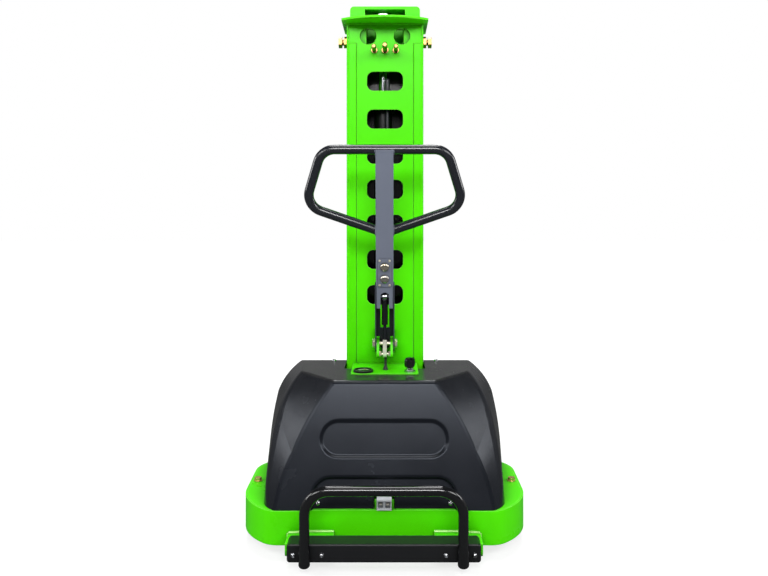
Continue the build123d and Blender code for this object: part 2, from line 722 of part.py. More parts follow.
def window_heights():
    lower = WINDOW_TOP_Z - WINDOW_TOP_STEP
    return [WINDOW_TOP_Z] + [lower - row * WINDOW_PITCH for row in range(WINDOW_COUNT - 1)]


def mast_front_panel():
    """The panel between the rails, with a wider head, seven windows and two sight holes."""
    strip_half = FLANGE_EDGE_X - PANEL_GROOVE
    head_half = HEAD_PANEL_HALF - PANEL_GROOVE
    y = (PANEL_Y, PANEL_Y + PANEL_THICKNESS)
    panel = block((-strip_half, strip_half), y, (PANEL_BOTTOM, HEAD_PANEL_BOTTOM + PANEL_GROOVE))
    panel += block((-head_half, head_half), y, (HEAD_PANEL_BOTTOM + PANEL_GROOVE, MAST_TOP))
    window = RectangleRounded(WINDOW_WIDTH, WINDOW_HEIGHT, WINDOW_CORNER)
    for z in window_heights():
        panel -= along_y(Pos(0, z) * window, *y)
    for x in (-SIGHT_HOLE_X, SIGHT_HOLE_X):
        panel -= bar((x, y[0], SIGHT_HOLE_Z), (x, y[1], SIGHT_HOLE_Z), SIGHT_HOLE_DIAMETER)
    for x, diameter in zip((-STUD_X, 0, STUD_X), STUD_DIAMETERS):
        panel -= bar((x, y[0], STUD_Z), (x, y[1], STUD_Z), diameter)
    return panel


def panel_studs():
    studs = []
    for x, diameter, length in zip((-STUD_X, 0, STUD_X), STUD_DIAMETERS, STUD_LENGTHS):
        stud = bar((x, PANEL_Y + PANEL_THICKNESS, STUD_Z), (x, PANEL_Y - length, STUD_Z), diameter)
        stud = chamfer(stud.edges().group_by(Axis.Y)[0], diameter / 8)
        washer = bar((x, PANEL_Y, STUD_Z), (x, PANEL_Y - STUD_WASHER, STUD_Z), 1.45 * diameter)
        studs.append(stud + washer)
    return studs


def mast_top_plate():
    """The cap plate with an arched front edge and a hole for the inner mast."""
    front = MAST_Y - TOP_PLATE_AHEAD
    back = MAST_BACK_Y + TOP_PLATE_BACK
    outline = make_face(
        ThreePointArc(
            (-TOP_PLATE_HALF, front), (0, front - TOP_PLATE_ARCH), (TOP_PLATE_HALF, front)
        ).edges()
        + Polyline(
            (TOP_PLATE_HALF, front), (TOP_PLATE_HALF, back), (-TOP_PLATE_HALF, back), (-TOP_PLATE_HALF, front)
        ).edges()
    )
    outline = fillet(outline.vertices(), TOP_PLATE_CORNER)
    plate = along_z(outline, MAST_TOP, HEAD_BOTTOM)
    hole_half = INNER_EDGE_X + INNER_TIP_GAP / 2
    hole_y = (MAST_Y + RAIL_FLANGE, MAST_BACK_Y - RAIL_FLANGE)
    return plate - block((-hole_half, hole_half), hole_y, (MAST_TOP, HEAD_BOTTOM))


def upper_roller_axle():
    """A bolt through the rail: spacer and pin inside, washer, nut, neck and head outside."""
    y = MAST_MID_Y
    z = UPPER_ROLLER_Z
    roller_out = RAIL_INSIDE_X - ROLLER_AXLE / 2
    axle = bar((roller_out - ROLLER_WIDTH, y, z), (MAST_HALF, y, z), ROLLER_AXLE)
    axle += bar((roller_out, y, z), (RAIL_INSIDE_X, y, z), ROLLER_AXLE * 1.5)
    across = ROLLER_AXLE * BOLT_HEAD_RATIO
    washer_x = MAST_HALF + AXLE_WASHER
    nut_x = washer_x + AXLE_NUT
    neck_x = nut_x + AXLE_NECK
    axle += bar((MAST_HALF, y, z), (washer_x, y, z), 1.15 * across)
    axle += hexagon((washer_x, y, z), (nut_x, y, z), across)
    axle += bar((nut_x, y, z), (neck_x, y, z), ROLLER_AXLE)
    return axle + hexagon((neck_x, y, z), (neck_x + AXLE_HEAD, y, z), across)


def upper_roller():
    outer_x = RAIL_INSIDE_X - ROLLER_AXLE / 2 - ROLLER_GAP
    ends = [(x, MAST_MID_Y, UPPER_ROLLER_Z) for x in (outer_x - ROLLER_WIDTH, outer_x)]
    roller = bar(*ends, UPPER_ROLLER_DIAMETER)
    roller = chamfer(roller.edges(), ROLLER_WIDTH / 12)
    return roller - bar(*ends, ROLLER_AXLE + 2 * RUNNING_FIT)


def lower_roller():
    outer_x = RAIL_INSIDE_X - INNER_TIP_GAP / 2
    ends = [(x, MAST_MID_Y, LOWER_ROLLER_Z) for x in (outer_x - ROLLER_WIDTH, outer_x)]
    roller = bar(*ends, LOWER_ROLLER_DIAMETER)
    roller = chamfer(roller.edges(), ROLLER_WIDTH / 12)
    return roller - bar(*ends, ROLLER_AXLE + 2 * RUNNING_FIT)


# Inner mast, carriage and forks


def inner_channel():
    """A rail that opens outwards; at its foot the flanges stop and a stub axle carries a roller."""
    width = INNER_EDGE_X - INNER_WEB_X
    outer = Pos(INNER_WEB_X + width / 2, MAST_MID_Y) * Rectangle(width, INNER_DEPTH)
    hollow_width = width - INNER_WEB
    hollow = Pos(INNER_OUT_X + hollow_width / 2, MAST_MID_Y) * Rectangle(hollow_width, INNER_CLEAR)
    rail = along_z(outer - hollow, INNER_BOTTOM, HEAD_BOTTOM)
    depth = (MAST_MID_Y - INNER_DEPTH / 2, MAST_MID_Y + INNER_DEPTH / 2)
    cut_top = INNER_BOTTOM + STUB_CUT_HEIGHT
    rail -= block((INNER_OUT_X, INNER_EDGE_X), depth, (INNER_BOTTOM, cut_top))
    roller_in = RAIL_INSIDE_X - INNER_TIP_GAP / 2 - ROLLER_WIDTH - ROLLER_GAP
    y = MAST_MID_Y
    z = LOWER_ROLLER_Z
    rail += bar((INNER_OUT_X, y, z), (roller_in, y, z), ROLLER_AXLE * 1.5)
    return rail + bar((roller_in, y, z), (roller_in + ROLLER_WIDTH, y, z), ROLLER_AXLE)


def inner_back_plate():
    """The plate that closes the inner mast at the back, above the carriage's bars."""
    back = MAST_MID_Y + INNER_DEPTH / 2
    plate_z = (CARRIAGE_TOP - CARRIAGE_THICKNESS, HEAD_BOTTOM - HEAD_SKIRT)
    return block((-INNER_WEB_X, INNER_WEB_X), (back - BACK_PLATE, back), plate_z)


def mast_head():
    """A cap over the inner rails, with a wide slot in its front and a skirt between the rails behind."""
    half_depth = INNER_DEPTH / 2
    y = (MAST_MID_Y - half_depth, MAST_MID_Y + half_depth)
    outline = Pos(0, HEAD_BOTTOM + HEAD_HEIGHT / 2) * Rectangle(2 * HEAD_HALF, HEAD_HEIGHT)
    outline = fillet(outline.vertices().group_by(Axis.Y)[-1], HEAD_ROUND)
    head = along_y(outline, *y)
    inside_half = HEAD_HALF - HEAD_WALL
    inside_y = (y[0] + HEAD_WALL, y[1] - HEAD_WALL)
    head -= block((-inside_half, inside_half), inside_y, (HEAD_BOTTOM, HEAD_ROOF))
    slot_z = (HEAD_BOTTOM + HEAD_WALL, HEAD_ROOF)
    head -= block((-HEAD_SLOT_HALF, HEAD_SLOT_HALF), (y[0], inside_y[0]), slot_z)
    skirt_z = (HEAD_BOTTOM - HEAD_SKIRT, HEAD_BOTTOM)
    return head + block((-INNER_WEB_X, INNER_WEB_X), (y[1] - BACK_PLATE, y[1]), skirt_z)


def piston_rod():
    """Piston, chrome rod and the threaded end with its nut inside the head."""
    x = CYLINDER_X
    y = MAST_MID_Y
    foot = DECK_TOP + HEAD_WALL
    roof = HEAD_ROOF
    rod = bar((x, y, foot), (x, y, foot + PISTON_HEIGHT), CYLINDER_BORE - 2 * RUNNING_FIT)
    rod += bar((x, y, foot), (x, y, roof), ROD_DIAMETER)
    return rod + hexagon((x, y, roof - ROD_DIAMETER), (x, y, roof), ROD_DIAMETER * BOLT_HEAD_RATIO)


def fork_carriage():
    """The cross plate with two bars that reach back between the rails to the inner mast."""
    low = FORK_TOP - FORK_WALL
    plate_y = (CARRIAGE_Y, FORK_ROOT_Y)
    middle = (low + CARRIAGE_TOP) / 2
    outline = Pos(0, middle) * RectangleRounded(2 * FORK_OUTER_HALF, CARRIAGE_TOP - low, CARRIAGE_THICKNESS)
    plate = along_y(outline, *plate_y)
    hole_width = FORK_OUTER_HALF - MAST_HALF - 4 * CARRIAGE_THICKNESS
    hole_height = (CARRIAGE_TOP - low) / 2.4
    hole_x = MAST_HALF + hole_width / 2 + 1.5 * CARRIAGE_THICKNESS
    hole = RectangleRounded(hole_width, hole_height, WINDOW_CORNER)
    for x in (-hole_x, hole_x):
        plate -= along_y(Pos(x, middle + CARRIAGE_THICKNESS) * hole, *plate_y)
    bar_y = (MAST_MID_Y - INNER_DEPTH / 2, CARRIAGE_Y)
    bar_z = (INNER_BOTTOM + HEAD_WALL, CARRIAGE_TOP - CARRIAGE_THICKNESS)
    side = block((INNER_WEB_X - CARRIAGE_BAR, INNER_WEB_X), bar_y, bar_z)
    side -= bar((0, bar_y[0], middle), (INNER_WEB_X, bar_y[0], middle), WINDOW_HEIGHT)
    return plate + both_sides(side)


def fork_shell(inset):
    """The fork's outer form drawn in by an inset, with a round nose that slopes down."""
    x = (LEG_X - FORK_WIDTH / 2 + inset, LEG_X + FORK_WIDTH / 2 - inset)
    z = (FORK_TOP - FORK_HEIGHT, FORK_TOP - inset)
    tip = FORK_TIP_Y - inset
    body = block(x, (FORK_ROOT_Y, tip), z)
    nose = body.edges().filter_by(Axis.Z).group_by(Axis.Y)[-1]
    body = fillet(nose, FORK_NOSE_RADIUS)
    slope_y = tip - FORK_NOSE_LENGTH
    wedge = Polygon((slope_y, z[1]), (tip, z[1] - FORK_NOSE_DROP), (tip, z[1]), align=None)
    return body - along_x(wedge, *x)


def fork():
    """An inverted channel with a closed nose and two gussets at its heel."""
    shape = fork_shell(0) - fork_shell(FORK_WALL)
    heel = Polygon(
        (FORK_ROOT_Y, FORK_TOP),
        (FORK_ROOT_Y + GUSSET_LENGTH, FORK_TOP),
        (FORK_ROOT_Y, FORK_TOP + GUSSET_HEIGHT),
        align=None,
    )
    for edge in (-1, 1):
        middle = LEG_X + edge * (FORK_WIDTH / 2 - FORK_WALL)
        shape += along_x(heel, middle - FORK_WALL / 2, middle + FORK_WALL / 2)
    return shape


# Lift cylinder and its pipes


def lift_cylinder():
    """The barrel with a closed foot, a gland at the top and two ports."""
    x = CYLINDER_X
    y = MAST_MID_Y
    barrel = bar((x, y, DECK_TOP), (x, y, CYLINDER_TOP), CYLINDER_DIAMETER)
    gland_top = CYLINDER_TOP + GLAND_HEIGHT
    barrel += bar((x, y, CYLINDER_TOP), (x, y, gland_top), GLAND_DIAMETER)
    barrel += bar((x, y, PORT_Z), (x, lift_port_y(), PORT_Z), HOSE_DIAMETER * 1.5)
    barrel += gland_manifold()
    barrel += bar((x, y, manifold_z()), (x, manifold_y(), manifold_z()), LOOP_PIPE_DIAMETER)
    barrel -= bar((x, y, DECK_TOP + HEAD_WALL), (x, y, CYLINDER_TOP), CYLINDER_BORE)
    return barrel - bar((x, y, DECK_TOP + HEAD_WALL), (x, y, gland_top), ROD_DIAMETER + 2 * RUNNING_FIT)


def manifold_y():
    return MAST_MID_Y + (GLAND_DIAMETER + LOOP_PIPE_DIAMETER) / 2


def manifold_z():
    return CYLINDER_TOP + GLAND_HEIGHT / 2


def gland_manifold():
    """The cross bar behind the gland that both ends of the loop pipe hang from."""
    reach = LOOP_PIPE_HALF + LOOP_PIPE_DIAMETER / 2
    ends = [(LOOP_PIPE_X + side * reach, manifold_y(), manifold_z()) for side in (-1, 1)]
    return bar(*ends, 1.2 * LOOP_PIPE_DIAMETER)


def loop_pipe():
    """A pipe that hangs from the manifold in a half circle behind the barrel."""
    left = LOOP_PIPE_X - LOOP_PIPE_HALF
    right = LOOP_PIPE_X + LOOP_PIPE_HALF
    low = manifold_z() - LOOP_PIPE_HALF - LOOP_PIPE_DIAMETER / 2
    points = [(x, manifold_y(), z) for x, z in (
        (left, manifold_z()), (left, low), (right, low), (right, manifold_z())
    )]
    return pipe(points, LOOP_PIPE_HALF - RUNNING_FIT, LOOP_PIPE_DIAMETER) - gland_manifold()


def lift_port_y():
    return MAST_MID_Y - CYLINDER_DIAMETER / 2 - HOSE_DIAMETER


def pipe_y():
    """The return pipe stands just in front of the gland."""
    return MAST_MID_Y - GLAND_DIAMETER / 2 - FITTING_DIAMETER / 2


def return_pipe():
    """A steel pipe from the valve block up the front of the barrel to the gland's port."""
    low = valve_port_z()
    out_y = MAST_Y - PACK_BACK_GAP
    points = [
        (PIPE_X, pipe_y(), CYLINDER_TOP),
        (PIPE_X, pipe_y(), low),
        (PIPE_X, out_y, low),
        (valve_left_x(), out_y, low),
    ]
    shape = pipe(points, 1.2 * PIPE_DIAMETER, PIPE_DIAMETER)
    fitting = bar((PIPE_X, pipe_y(), CYLINDER_TOP), (PIPE_X, pipe_y(), FITTING_TOP), FITTING_DIAMETER)
    fitting = fillet(fitting.edges().group_by(Axis.Z)[-1], FITTING_DIAMETER / 2.2)
    stub_z = CYLINDER_TOP + GLAND_HEIGHT / 2
    fitting += bar((PIPE_X, pipe_y(), stub_z), (PIPE_X, MAST_MID_Y, stub_z), PIPE_DIAMETER)
    gland_z = (CYLINDER_TOP, CYLINDER_TOP + GLAND_HEIGHT)
    gland = bar((CYLINDER_X, MAST_MID_Y, gland_z[0]), (CYLINDER_X, MAST_MID_Y, gland_z[1]), GLAND_DIAMETER)
    return shape + (fitting - gland)


def valve_left_x():
    return TANK_X - VALVE_SIZE[0] / 2


def pack_y(depth):
    """Limits on Y of a box of the power pack, which stands just ahead of the mast."""
    back = MAST_Y - PACK_BACK_GAP / 2
    return back - depth, back


def tank_top():
    return DECK_TOP + TANK_SIZE[2]


def valve_port_z():
    return tank_top() + VALVE_SIZE[2] / 2


def lift_hose():
    """The hose from the valve block to the cylinder's lower port."""
    start_y = pack_y(VALVE_SIZE[1])[0] + HOSE_DIAMETER * 1.5
    points = [
        (valve_left_x(), start_y, valve_port_z()),
        (CYLINDER_X, start_y, valve_port_z()),
        (CYLINDER_X, start_y, PORT_Z),
        (CYLINDER_X, lift_port_y(), PORT_Z),
    ]
    return pipe(points, HOSE_BEND, HOSE_DIAMETER)


def battery():
    """A block battery with two posts, which fills the room between the caster bolts and the hose."""
    depth, height = BATTERY_SIZE
    washer = CASTER_WASHER_RATIO * CASTER_BOLT / 2
    outer_x = CASTER_X - CASTER_FRONT_BOLT_X - washer - BATTERY_GAP
    x = (-outer_x, -BATTERY_INNER_X)
    width = x[1] - x[0]
    y = pack_y(depth)
    top = DECK_TOP + height
    case = block(x, y, (DECK_TOP, top))
    case = fillet(case.edges().filter_by(Axis.Z), PACK_BACK_GAP / 2)
    for post_x in (x[0] + width / 6, x[1] - width / 6):
        middle = (y[0] + y[1]) / 2
        case += bar((post_x, middle, top), (post_x, middle, top + PACK_BACK_GAP), 1.2 * PACK_BACK_GAP)
    return case


def oil_tank():
    width, depth, height = TANK_SIZE
    x = (TANK_X - width / 2, TANK_X + width / 2)
    tank = block(x, pack_y(depth), (DECK_TOP, DECK_TOP + height))
    return fillet(tank.edges().filter_by(Axis.Z), PACK_BACK_GAP)


def valve_block():
    width, depth, height = VALVE_SIZE
    x = (TANK_X - width / 2, TANK_X + width / 2)
    return block(x, pack_y(depth), (tank_top(), tank_top() + height))


def pump_motor():
    low = tank_top() + VALVE_SIZE[2]
    y = sum(pack_y(VALVE_SIZE[1])) / 2
    motor = bar((TANK_X, y, low), (TANK_X, y, low + MOTOR_HEIGHT), MOTOR_DIAMETER)
    return fillet(motor.edges().group_by(Axis.Z)[-1], PACK_BACK_GAP / 2)


# Cover


def bulge_point(start, end, bulge):
    """The middle of an arc between two points of a section, bulging outwards."""
    (x0, z0), (x1, z1) = start, end
    length = sqrt((x1 - x0) ** 2 + (z1 - z0) ** 2)
    return (x0 + x1) / 2 + bulge * (z1 - z0) / length, (z0 + z1) / 2 + bulge * (x0 - x1) / length


def leaning_plane(bottom_y, lean, z, depth):
    """A plane that leans back from the deck, at a height on it, sunk by a depth and facing the operator."""
    y = bottom_y + lean * (z - DECK_TOP) + depth * sqrt(1 + lean ** 2)
    return Plane(origin=(0, y, z), x_dir=(1, 0, 0), z_dir=(0, -1, lean))


def facet_plane(z, depth):
    return leaning_plane(SKIRT_Y - FACET_AHEAD, FACET_LEAN, z, depth)


def corner_plane(z, depth):
    return leaning_plane(SKIRT_Y + CORNER_BACK, CORNER_LEAN, z, depth)


def back_plane(z, depth):
    return leaning_plane(COVER_BACK_Y, 0, z, depth)


def cover_section(insets, shoulder_z, plane_at, inset, overrun, depth):
    """The outline of the cover on one leaning plane, drawn in by an inset."""
    half = OVERALL_WIDTH / 2
    bottom = (half - insets[0] - inset, DECK_TOP - overrun)
    side = (half - insets[1] - inset, shoulder_z - inset / 2)
    top = (half - insets[2] - inset / 2, COVER_TOP - inset)

    def at(point, sign):
        return plane_at(point[1], depth).origin + Vector(sign * point[0], 0, 0)

    edges = [Line(at(bottom, -1), at(bottom, 1)), Line(at(top, -1), at(top, 1))]
    for sign in (-1, 1):
        low_arc = bulge_point(bottom, side, SIDE_BULGE)
        high_arc = bulge_point(side, top, SHOULDER_BULGE)
        edges.append(ThreePointArc(at(bottom, sign), at(low_arc, sign), at(side, sign)))
        edges.append(ThreePointArc(at(side, sign), at(high_arc, sign), at(top, sign)))
    return Face(Wire(edges))


def edges_on(shape, plane):
    """The edges of a shape that lie on a plane, clear of the deck."""
    def on_plane(edge):
        ends = [abs(plane.to_local_coords(edge @ part).Z) for part in (0, 0.5, 1)]
        return max(ends) < RUNNING_FIT and (edge @ 0.5).Z > DECK_TOP + RUNNING_FIT

    return [edge for edge in shape.edges() if on_plane(edge)]


def cover_form(inset, overrun):
    """The cover's body: a leaning front facet, oblique corners and sides that widen to the back."""
    form = loft([
        cover_section(FACET_INSETS, FACET_SHOULDER_Z, facet_plane, inset, overrun, inset),
        cover_section(CORNER_INSETS, CORNER_SHOULDER_Z, corner_plane, inset, overrun, inset),
        cover_section(BACK_INSETS, BACK_SHOULDER_Z, back_plane, inset, overrun, overrun),
    ], ruled=True)
    form = fillet(edges_on(form, corner_plane(DECK_TOP, inset)), CORNER_ROUND - inset)
    top = Plane(origin=(0, 0, COVER_TOP - inset))
    rims = edges_on(form, facet_plane(DECK_TOP, inset)) + edges_on(form, top)
    back = COVER_BACK_Y + overrun - RUNNING_FIT
    rims = [edge for edge in rims if (edge @ 0.5).Y < back]
    return fillet(ShapeList(dict.fromkeys(rims)), EDGE_ROUND - inset)


def arch_cut(grow):
    """The shallow foot recess behind the hoop, grown by a wall."""
    height = ARCH_TOP - DECK_TOP + 2 * (ARCH_CORNER + grow)
    outline = RectangleRounded(2 * (ARCH_HALF + grow), height, ARCH_CORNER)
    place = facet_plane(ARCH_TOP + grow, ARCH_DEPTH + grow)
    return extrude(place * Pos(0, -height / 2) * outline, 3 * ARCH_DEPTH)


def pocket_cut(grow):
    """The shallow oval panel in the facet, with sloping sides, grown by a wall."""
    drawn_in = POCKET_DEPTH * tan(radians(POCKET_SLOPE)) - grow
    outline = SlotOverall(POCKET_WIDTH - 2 * drawn_in, POCKET_HEIGHT - 2 * drawn_in)
    floor = facet_plane(POCKET_Z, POCKET_DEPTH + grow) * outline
    return extrude(floor, 2 * POCKET_DEPTH + grow, taper=-POCKET_SLOPE)


def softened(shape, depth, rim_round, floor_round, heights):
    """Rounds the rim and the floor of a recess in the facet between two heights."""
    low, high = heights
    for sunk, radius in ((0, rim_round), (depth, floor_round)):
        edges = [
            edge for edge in edges_on(shape, facet_plane(DECK_TOP, sunk))
            if low < (edge @ 0.5).Z < high and abs((edge @ 0.5).X) < ARCH_HALF + RUNNING_FIT
        ]
        shape = fillet(edges, radius)
    return shape


def power_cover():
    """The moulded shell, open below and at the back, notched for the mast and the instruments."""
    outer = cover_form(0, 0) - pocket_cut(0)
    pocket_z = (POCKET_Z - POCKET_HEIGHT, POCKET_Z + POCKET_HEIGHT)
    outer = softened(outer, POCKET_DEPTH, POCKET_ROUND, POCKET_ROUND, pocket_z)
    outer -= arch_cut(0)
    arch_z = (DECK_TOP, ARCH_TOP + ARCH_DEPTH)
    outer = softened(outer, ARCH_DEPTH, ARCH_ROUND, ARCH_FLOOR_ROUND, arch_z)
    shell = outer - (cover_form(COVER_WALL, COVER_WALL) - arch_cut(COVER_WALL) - pocket_cut(COVER_WALL))
    notch = MAST_HALF + MAST_NOTCH_GAP
    shell -= block((-notch, notch), (MAST_Y - MAST_NOTCH_AHEAD, COVER_BACK_Y), (DECK_TOP, COVER_TOP))
    well_y = (MAST_Y - SHELF_DEPTH + SHELF_LAP, MAST_Y)
    well_half = SHELF_HALF - SHELF_LAP
    shell -= block((-well_half, well_half), well_y, (COVER_TOP - 2 * COVER_WALL, COVER_TOP))
    plug_half = TAB_HALF + NOTCH_GAP
    plug_y = (SKIRT_Y - 2 * ARCH_DEPTH, SKIRT_Y + 3 * ARCH_DEPTH)
    shell -= block((-plug_half, plug_half), plug_y, (DECK_TOP, DECK_TOP + PLUG_HEIGHT + NOTCH_RISE))
    for place in cover_screw_planes():
        shell -= place * Cylinder(SCREW_SHANK / 2, 2 * SCREW_LENGTH)
    return shell


def cover_screw_planes():
    """Places of the cover's screws: two in the foot recess and two on top at the back."""
    planes = []
    recess = facet_plane(COVER_SCREW_Z, ARCH_DEPTH)
    for sign in (-1, 1):
        planes.append(recess * Pos(sign * COVER_SCREW_X, 0, 0))
        planes.append(Pos(sign * TOP_SCREW_X, COVER_BACK_Y - TOP_SCREW_INSET, COVER_TOP))
    return planes


def button_screws():
    screws = [button_screw(place) for place in cover_screw_planes()]
    for place in beam_screw_places():
        face = Plane(origin=place, x_dir=(1, 0, 0), z_dir=(0, -1, 0))
        screws += both_sides(button_screw(face))
    return screws


def rear_bulkhead():
    """A plate that closes the cover at the back, from the mast to the cover's side."""
    middle = COVER_BACK_Y - TOP_SCREW_INSET
    plate_y = (middle - BULKHEAD / 2, middle + BULKHEAD / 2)
    room = block((MAST_HALF, OVERALL_WIDTH / 2), plate_y, (DECK_TOP, COVER_TOP))
    plate = cover_form(COVER_WALL + BULKHEAD_GAP, COVER_WALL) & room
    for place in cover_screw_planes():
        plate -= place * Cylinder(SCREW_SHANK / 2, 2 * SCREW_LENGTH)
    return plate


def charging_connector():
    """A two-pole block with two open contact mouths."""
    body = plug_box(0)
    front = SKIRT_Y - PLUG_AHEAD
    width, height, depth = PLUG_MOUTH
    middle = DECK_TOP + PLUG_HEIGHT / 2
    for x in (-PLUG_MOUTH_X, PLUG_MOUTH_X):
        z = (middle - height / 2, middle + height / 2)
        body -= block((x - width / 2, x + width / 2), (front, front + depth), z)
    return body


# Instruments


def shelf_place(x, ahead):
    return x, MAST_Y - ahead


def instrument_shelf():
    plate = block((-SHELF_HALF, SHELF_HALF), (MAST_Y - SHELF_DEPTH, MAST_Y), (COVER_TOP, SHELF_TOP))
    plate = fillet(plate.edges().filter_by(Axis.Z).group_by(Axis.Y)[0], SHELF_LAP)
    holes = (
        (GAUGE_X, GAUGE_AHEAD, GAUGE_LENS),
        (SWITCH_X, SWITCH_AHEAD, SWITCH_BARREL),
        (CABLE_X, CABLE_AHEAD, CABLE_DIAMETER),
    )
    for x, ahead, diameter in holes:
        px, py = shelf_place(x, ahead)
        plate -= bar((px, py, COVER_TOP), (px, py, SHELF_TOP), diameter)
    return plate


def gauge_bezel():
    """The gauge's ring and its round body under the shelf, with a seat for the lens."""
    x, y = shelf_place(GAUGE_X, GAUGE_AHEAD)
    top = SHELF_TOP + GAUGE_HEIGHT
    ring = bar((x, y, SHELF_TOP), (x, y, top), GAUGE_DIAMETER)
    ring = fillet(ring.edges().group_by(Axis.Z)[-1], GAUGE_HEIGHT / 3)
    ring += bar((x, y, SHELF_TOP - GAUGE_DEPTH), (x, y, SHELF_TOP), GAUGE_LENS)
    return ring - bar((x, y, lens_bottom()), (x, y, top), GAUGE_LENS)


def lens_bottom():
    return SHELF_TOP + GAUGE_HEIGHT / 4


def gauge_lens():
    x, y = shelf_place(GAUGE_X, GAUGE_AHEAD)
    return bar((x, y, lens_bottom()), (x, y, SHELF_TOP + 0.8 * GAUGE_HEIGHT), GAUGE_LENS)


def key_switch():
    """The switch body under the shelf, its nut, and a barrel with a round bore for the key."""
    x, y = shelf_place(SWITCH_X, SWITCH_AHEAD)
    barrel_top = SHELF_TOP + SWITCH_BARREL / 2
    nut_top = SHELF_TOP + SWITCH_BARREL / 4
    body = bar((x, y, COVER_TOP - SWITCH_DIAMETER), (x, y, COVER_TOP), SWITCH_DIAMETER)
    body += bar((x, y, COVER_TOP), (x, y, barrel_top), SWITCH_BARREL)
    body += hexagon((x, y, SHELF_TOP), (x, y, nut_top), SWITCH_BARREL * 1.4)
    return body - bar((x, y, COVER_TOP), (x, y, barrel_top), key_bore())


def key_bore():
    width, thickness = KEY_BLADE
    return sqrt(width ** 2 + thickness ** 2) + 2 * RUNNING_FIT


def key():
    """A flat blade in the barrel with a moulded head above it."""
    x, y = shelf_place(SWITCH_X, SWITCH_AHEAD)
    width, thickness = KEY_BLADE
    head_width, head_height, head_thickness = KEY_HEAD
    low = SHELF_TOP + SWITCH_BARREL / 2 + 3 * ROLLER_GAP
    blade = block((x - width / 2, x + width / 2), (y - thickness / 2, y + thickness / 2), (COVER_TOP, low))
    outline = Pos(x, low + head_height / 2) * RectangleRounded(head_width, head_height, head_height / 3)
    outline -= Pos(x, low + head_height * 0.76) * Circle(head_height / 9)
    head = along_y(outline, y - head_thickness / 2, y + head_thickness / 2)
    return Pos(x, y, 0) * Rot(0, 0, KEY_REST_TURN) * Pos(-x, -y, 0) * (blade + head)


def control_cable():
    """A cable out of a flared boot on the shelf, back under the strut's foot to the tiller base."""
    x, y = shelf_place(CABLE_X, CABLE_AHEAD)
    base_y = MAST_Y + PANEL_RECESS - TILLER_BASE[2]
    points = [(x, y, COVER_TOP), (x, y, CABLE_CORNER_Z), (x, base_y + CABLE_DIAMETER / 2, CABLE_END_Z)]
    cable = pipe(points, CABLE_BEND, CABLE_DIAMETER)
    past_base = (base_y, base_y + 2 * CABLE_DIAMETER)
    cable -= block((x - CABLE_DIAMETER, x + CABLE_DIAMETER), past_base, (COVER_TOP, PIVOT_Z))
    boot = Cone(
        BOOT_DIAMETER / 2, CABLE_DIAMETER / 2, BOOT_HEIGHT, align=(Align.CENTER, Align.CENTER, Align.MIN)
    )
    return cable + Pos(x, y, SHELF_TOP) * boot


# Tiller


def leaned(shape):
    """Places a shape of the tiller, which is drawn upright with its pivot at the origin."""
    return Pos(0, PIVOT_Y, PIVOT_Z) * (Rot(TILLER_LEAN, 0, 0) * shape)


def leaned_point(y, z):
    """A point of the upright tiller, in the leaning tiller's place."""
    lean = radians(TILLER_LEAN)
    return PIVOT_Y + y * cos(lean) - z * sin(lean), PIVOT_Z + y * sin(lean) + z * cos(lean)


def tiller_bar():
    """A rectangular tube with an open slot at its foot, holes for the loop and a pin for the strut."""
    half = BAR_WIDTH / 2
    front = -BAR_DEPTH / 2
    body = block((-half, half), (front, -front), (BAR_FOOT, BAR_TOP))
    body = fillet(body.edges().filter_by(Axis.Z), BAR_WALL)
    inner = half - BAR_WALL
    body -= block((-inner, inner), (front + BAR_WALL, -front - BAR_WALL), (BAR_FOOT, BAR_TOP))
    slot_length = 2 * (BAR_SLOT_TOP - BAR_FOOT)
    slot = Pos(0, BAR_FOOT) * Rot(0, 0, 90) * SlotOverall(slot_length, BAR_SLOT_WIDTH)
    body -= along_y(slot, front, front + 2 * BAR_WALL)
    body -= bar((-half, 0, LOOP_TOP), (half, 0, LOOP_TOP), LOOP_DIAMETER)
    for z in BUTTON_Z:
        body -= bar((0, front, z), (0, front + BAR_WALL, z), BUTTON_DIAMETER + 2 * BUTTON_GAP)
    y, z = STRUT_TOP
    return body + bar((-inner, y, z), (inner, y, z), STRUT_PIN)


def handle_loop():
    """The bent grip tube: across the top, out to its widest and in again to the bar."""
    arm_x = BAR_WIDTH / 4
    slope = (LOOP_WIDE_Z - LOOP_ARM_Z) / (LOOP_WIDE_HALF - BAR_WIDTH / 2)
    arm_z = LOOP_ARM_Z - slope * (BAR_WIDTH / 2 - arm_x)
    right = [(arm_x, 0, arm_z), (LOOP_WIDE_HALF, 0, LOOP_WIDE_Z), (LOOP_TOP_HALF, 0, LOOP_TOP)]
    left = [(-x, y, z) for x, y, z in reversed(right)]
    loop = tube(right + left, LOOP_BEND, LOOP_DIAMETER, LOOP_WALL)
    half = BAR_WIDTH / 2
    return loop - block((-half, half), (-BAR_DEPTH, BAR_DEPTH), (BAR_FOOT, LOOP_WIDE_Z))


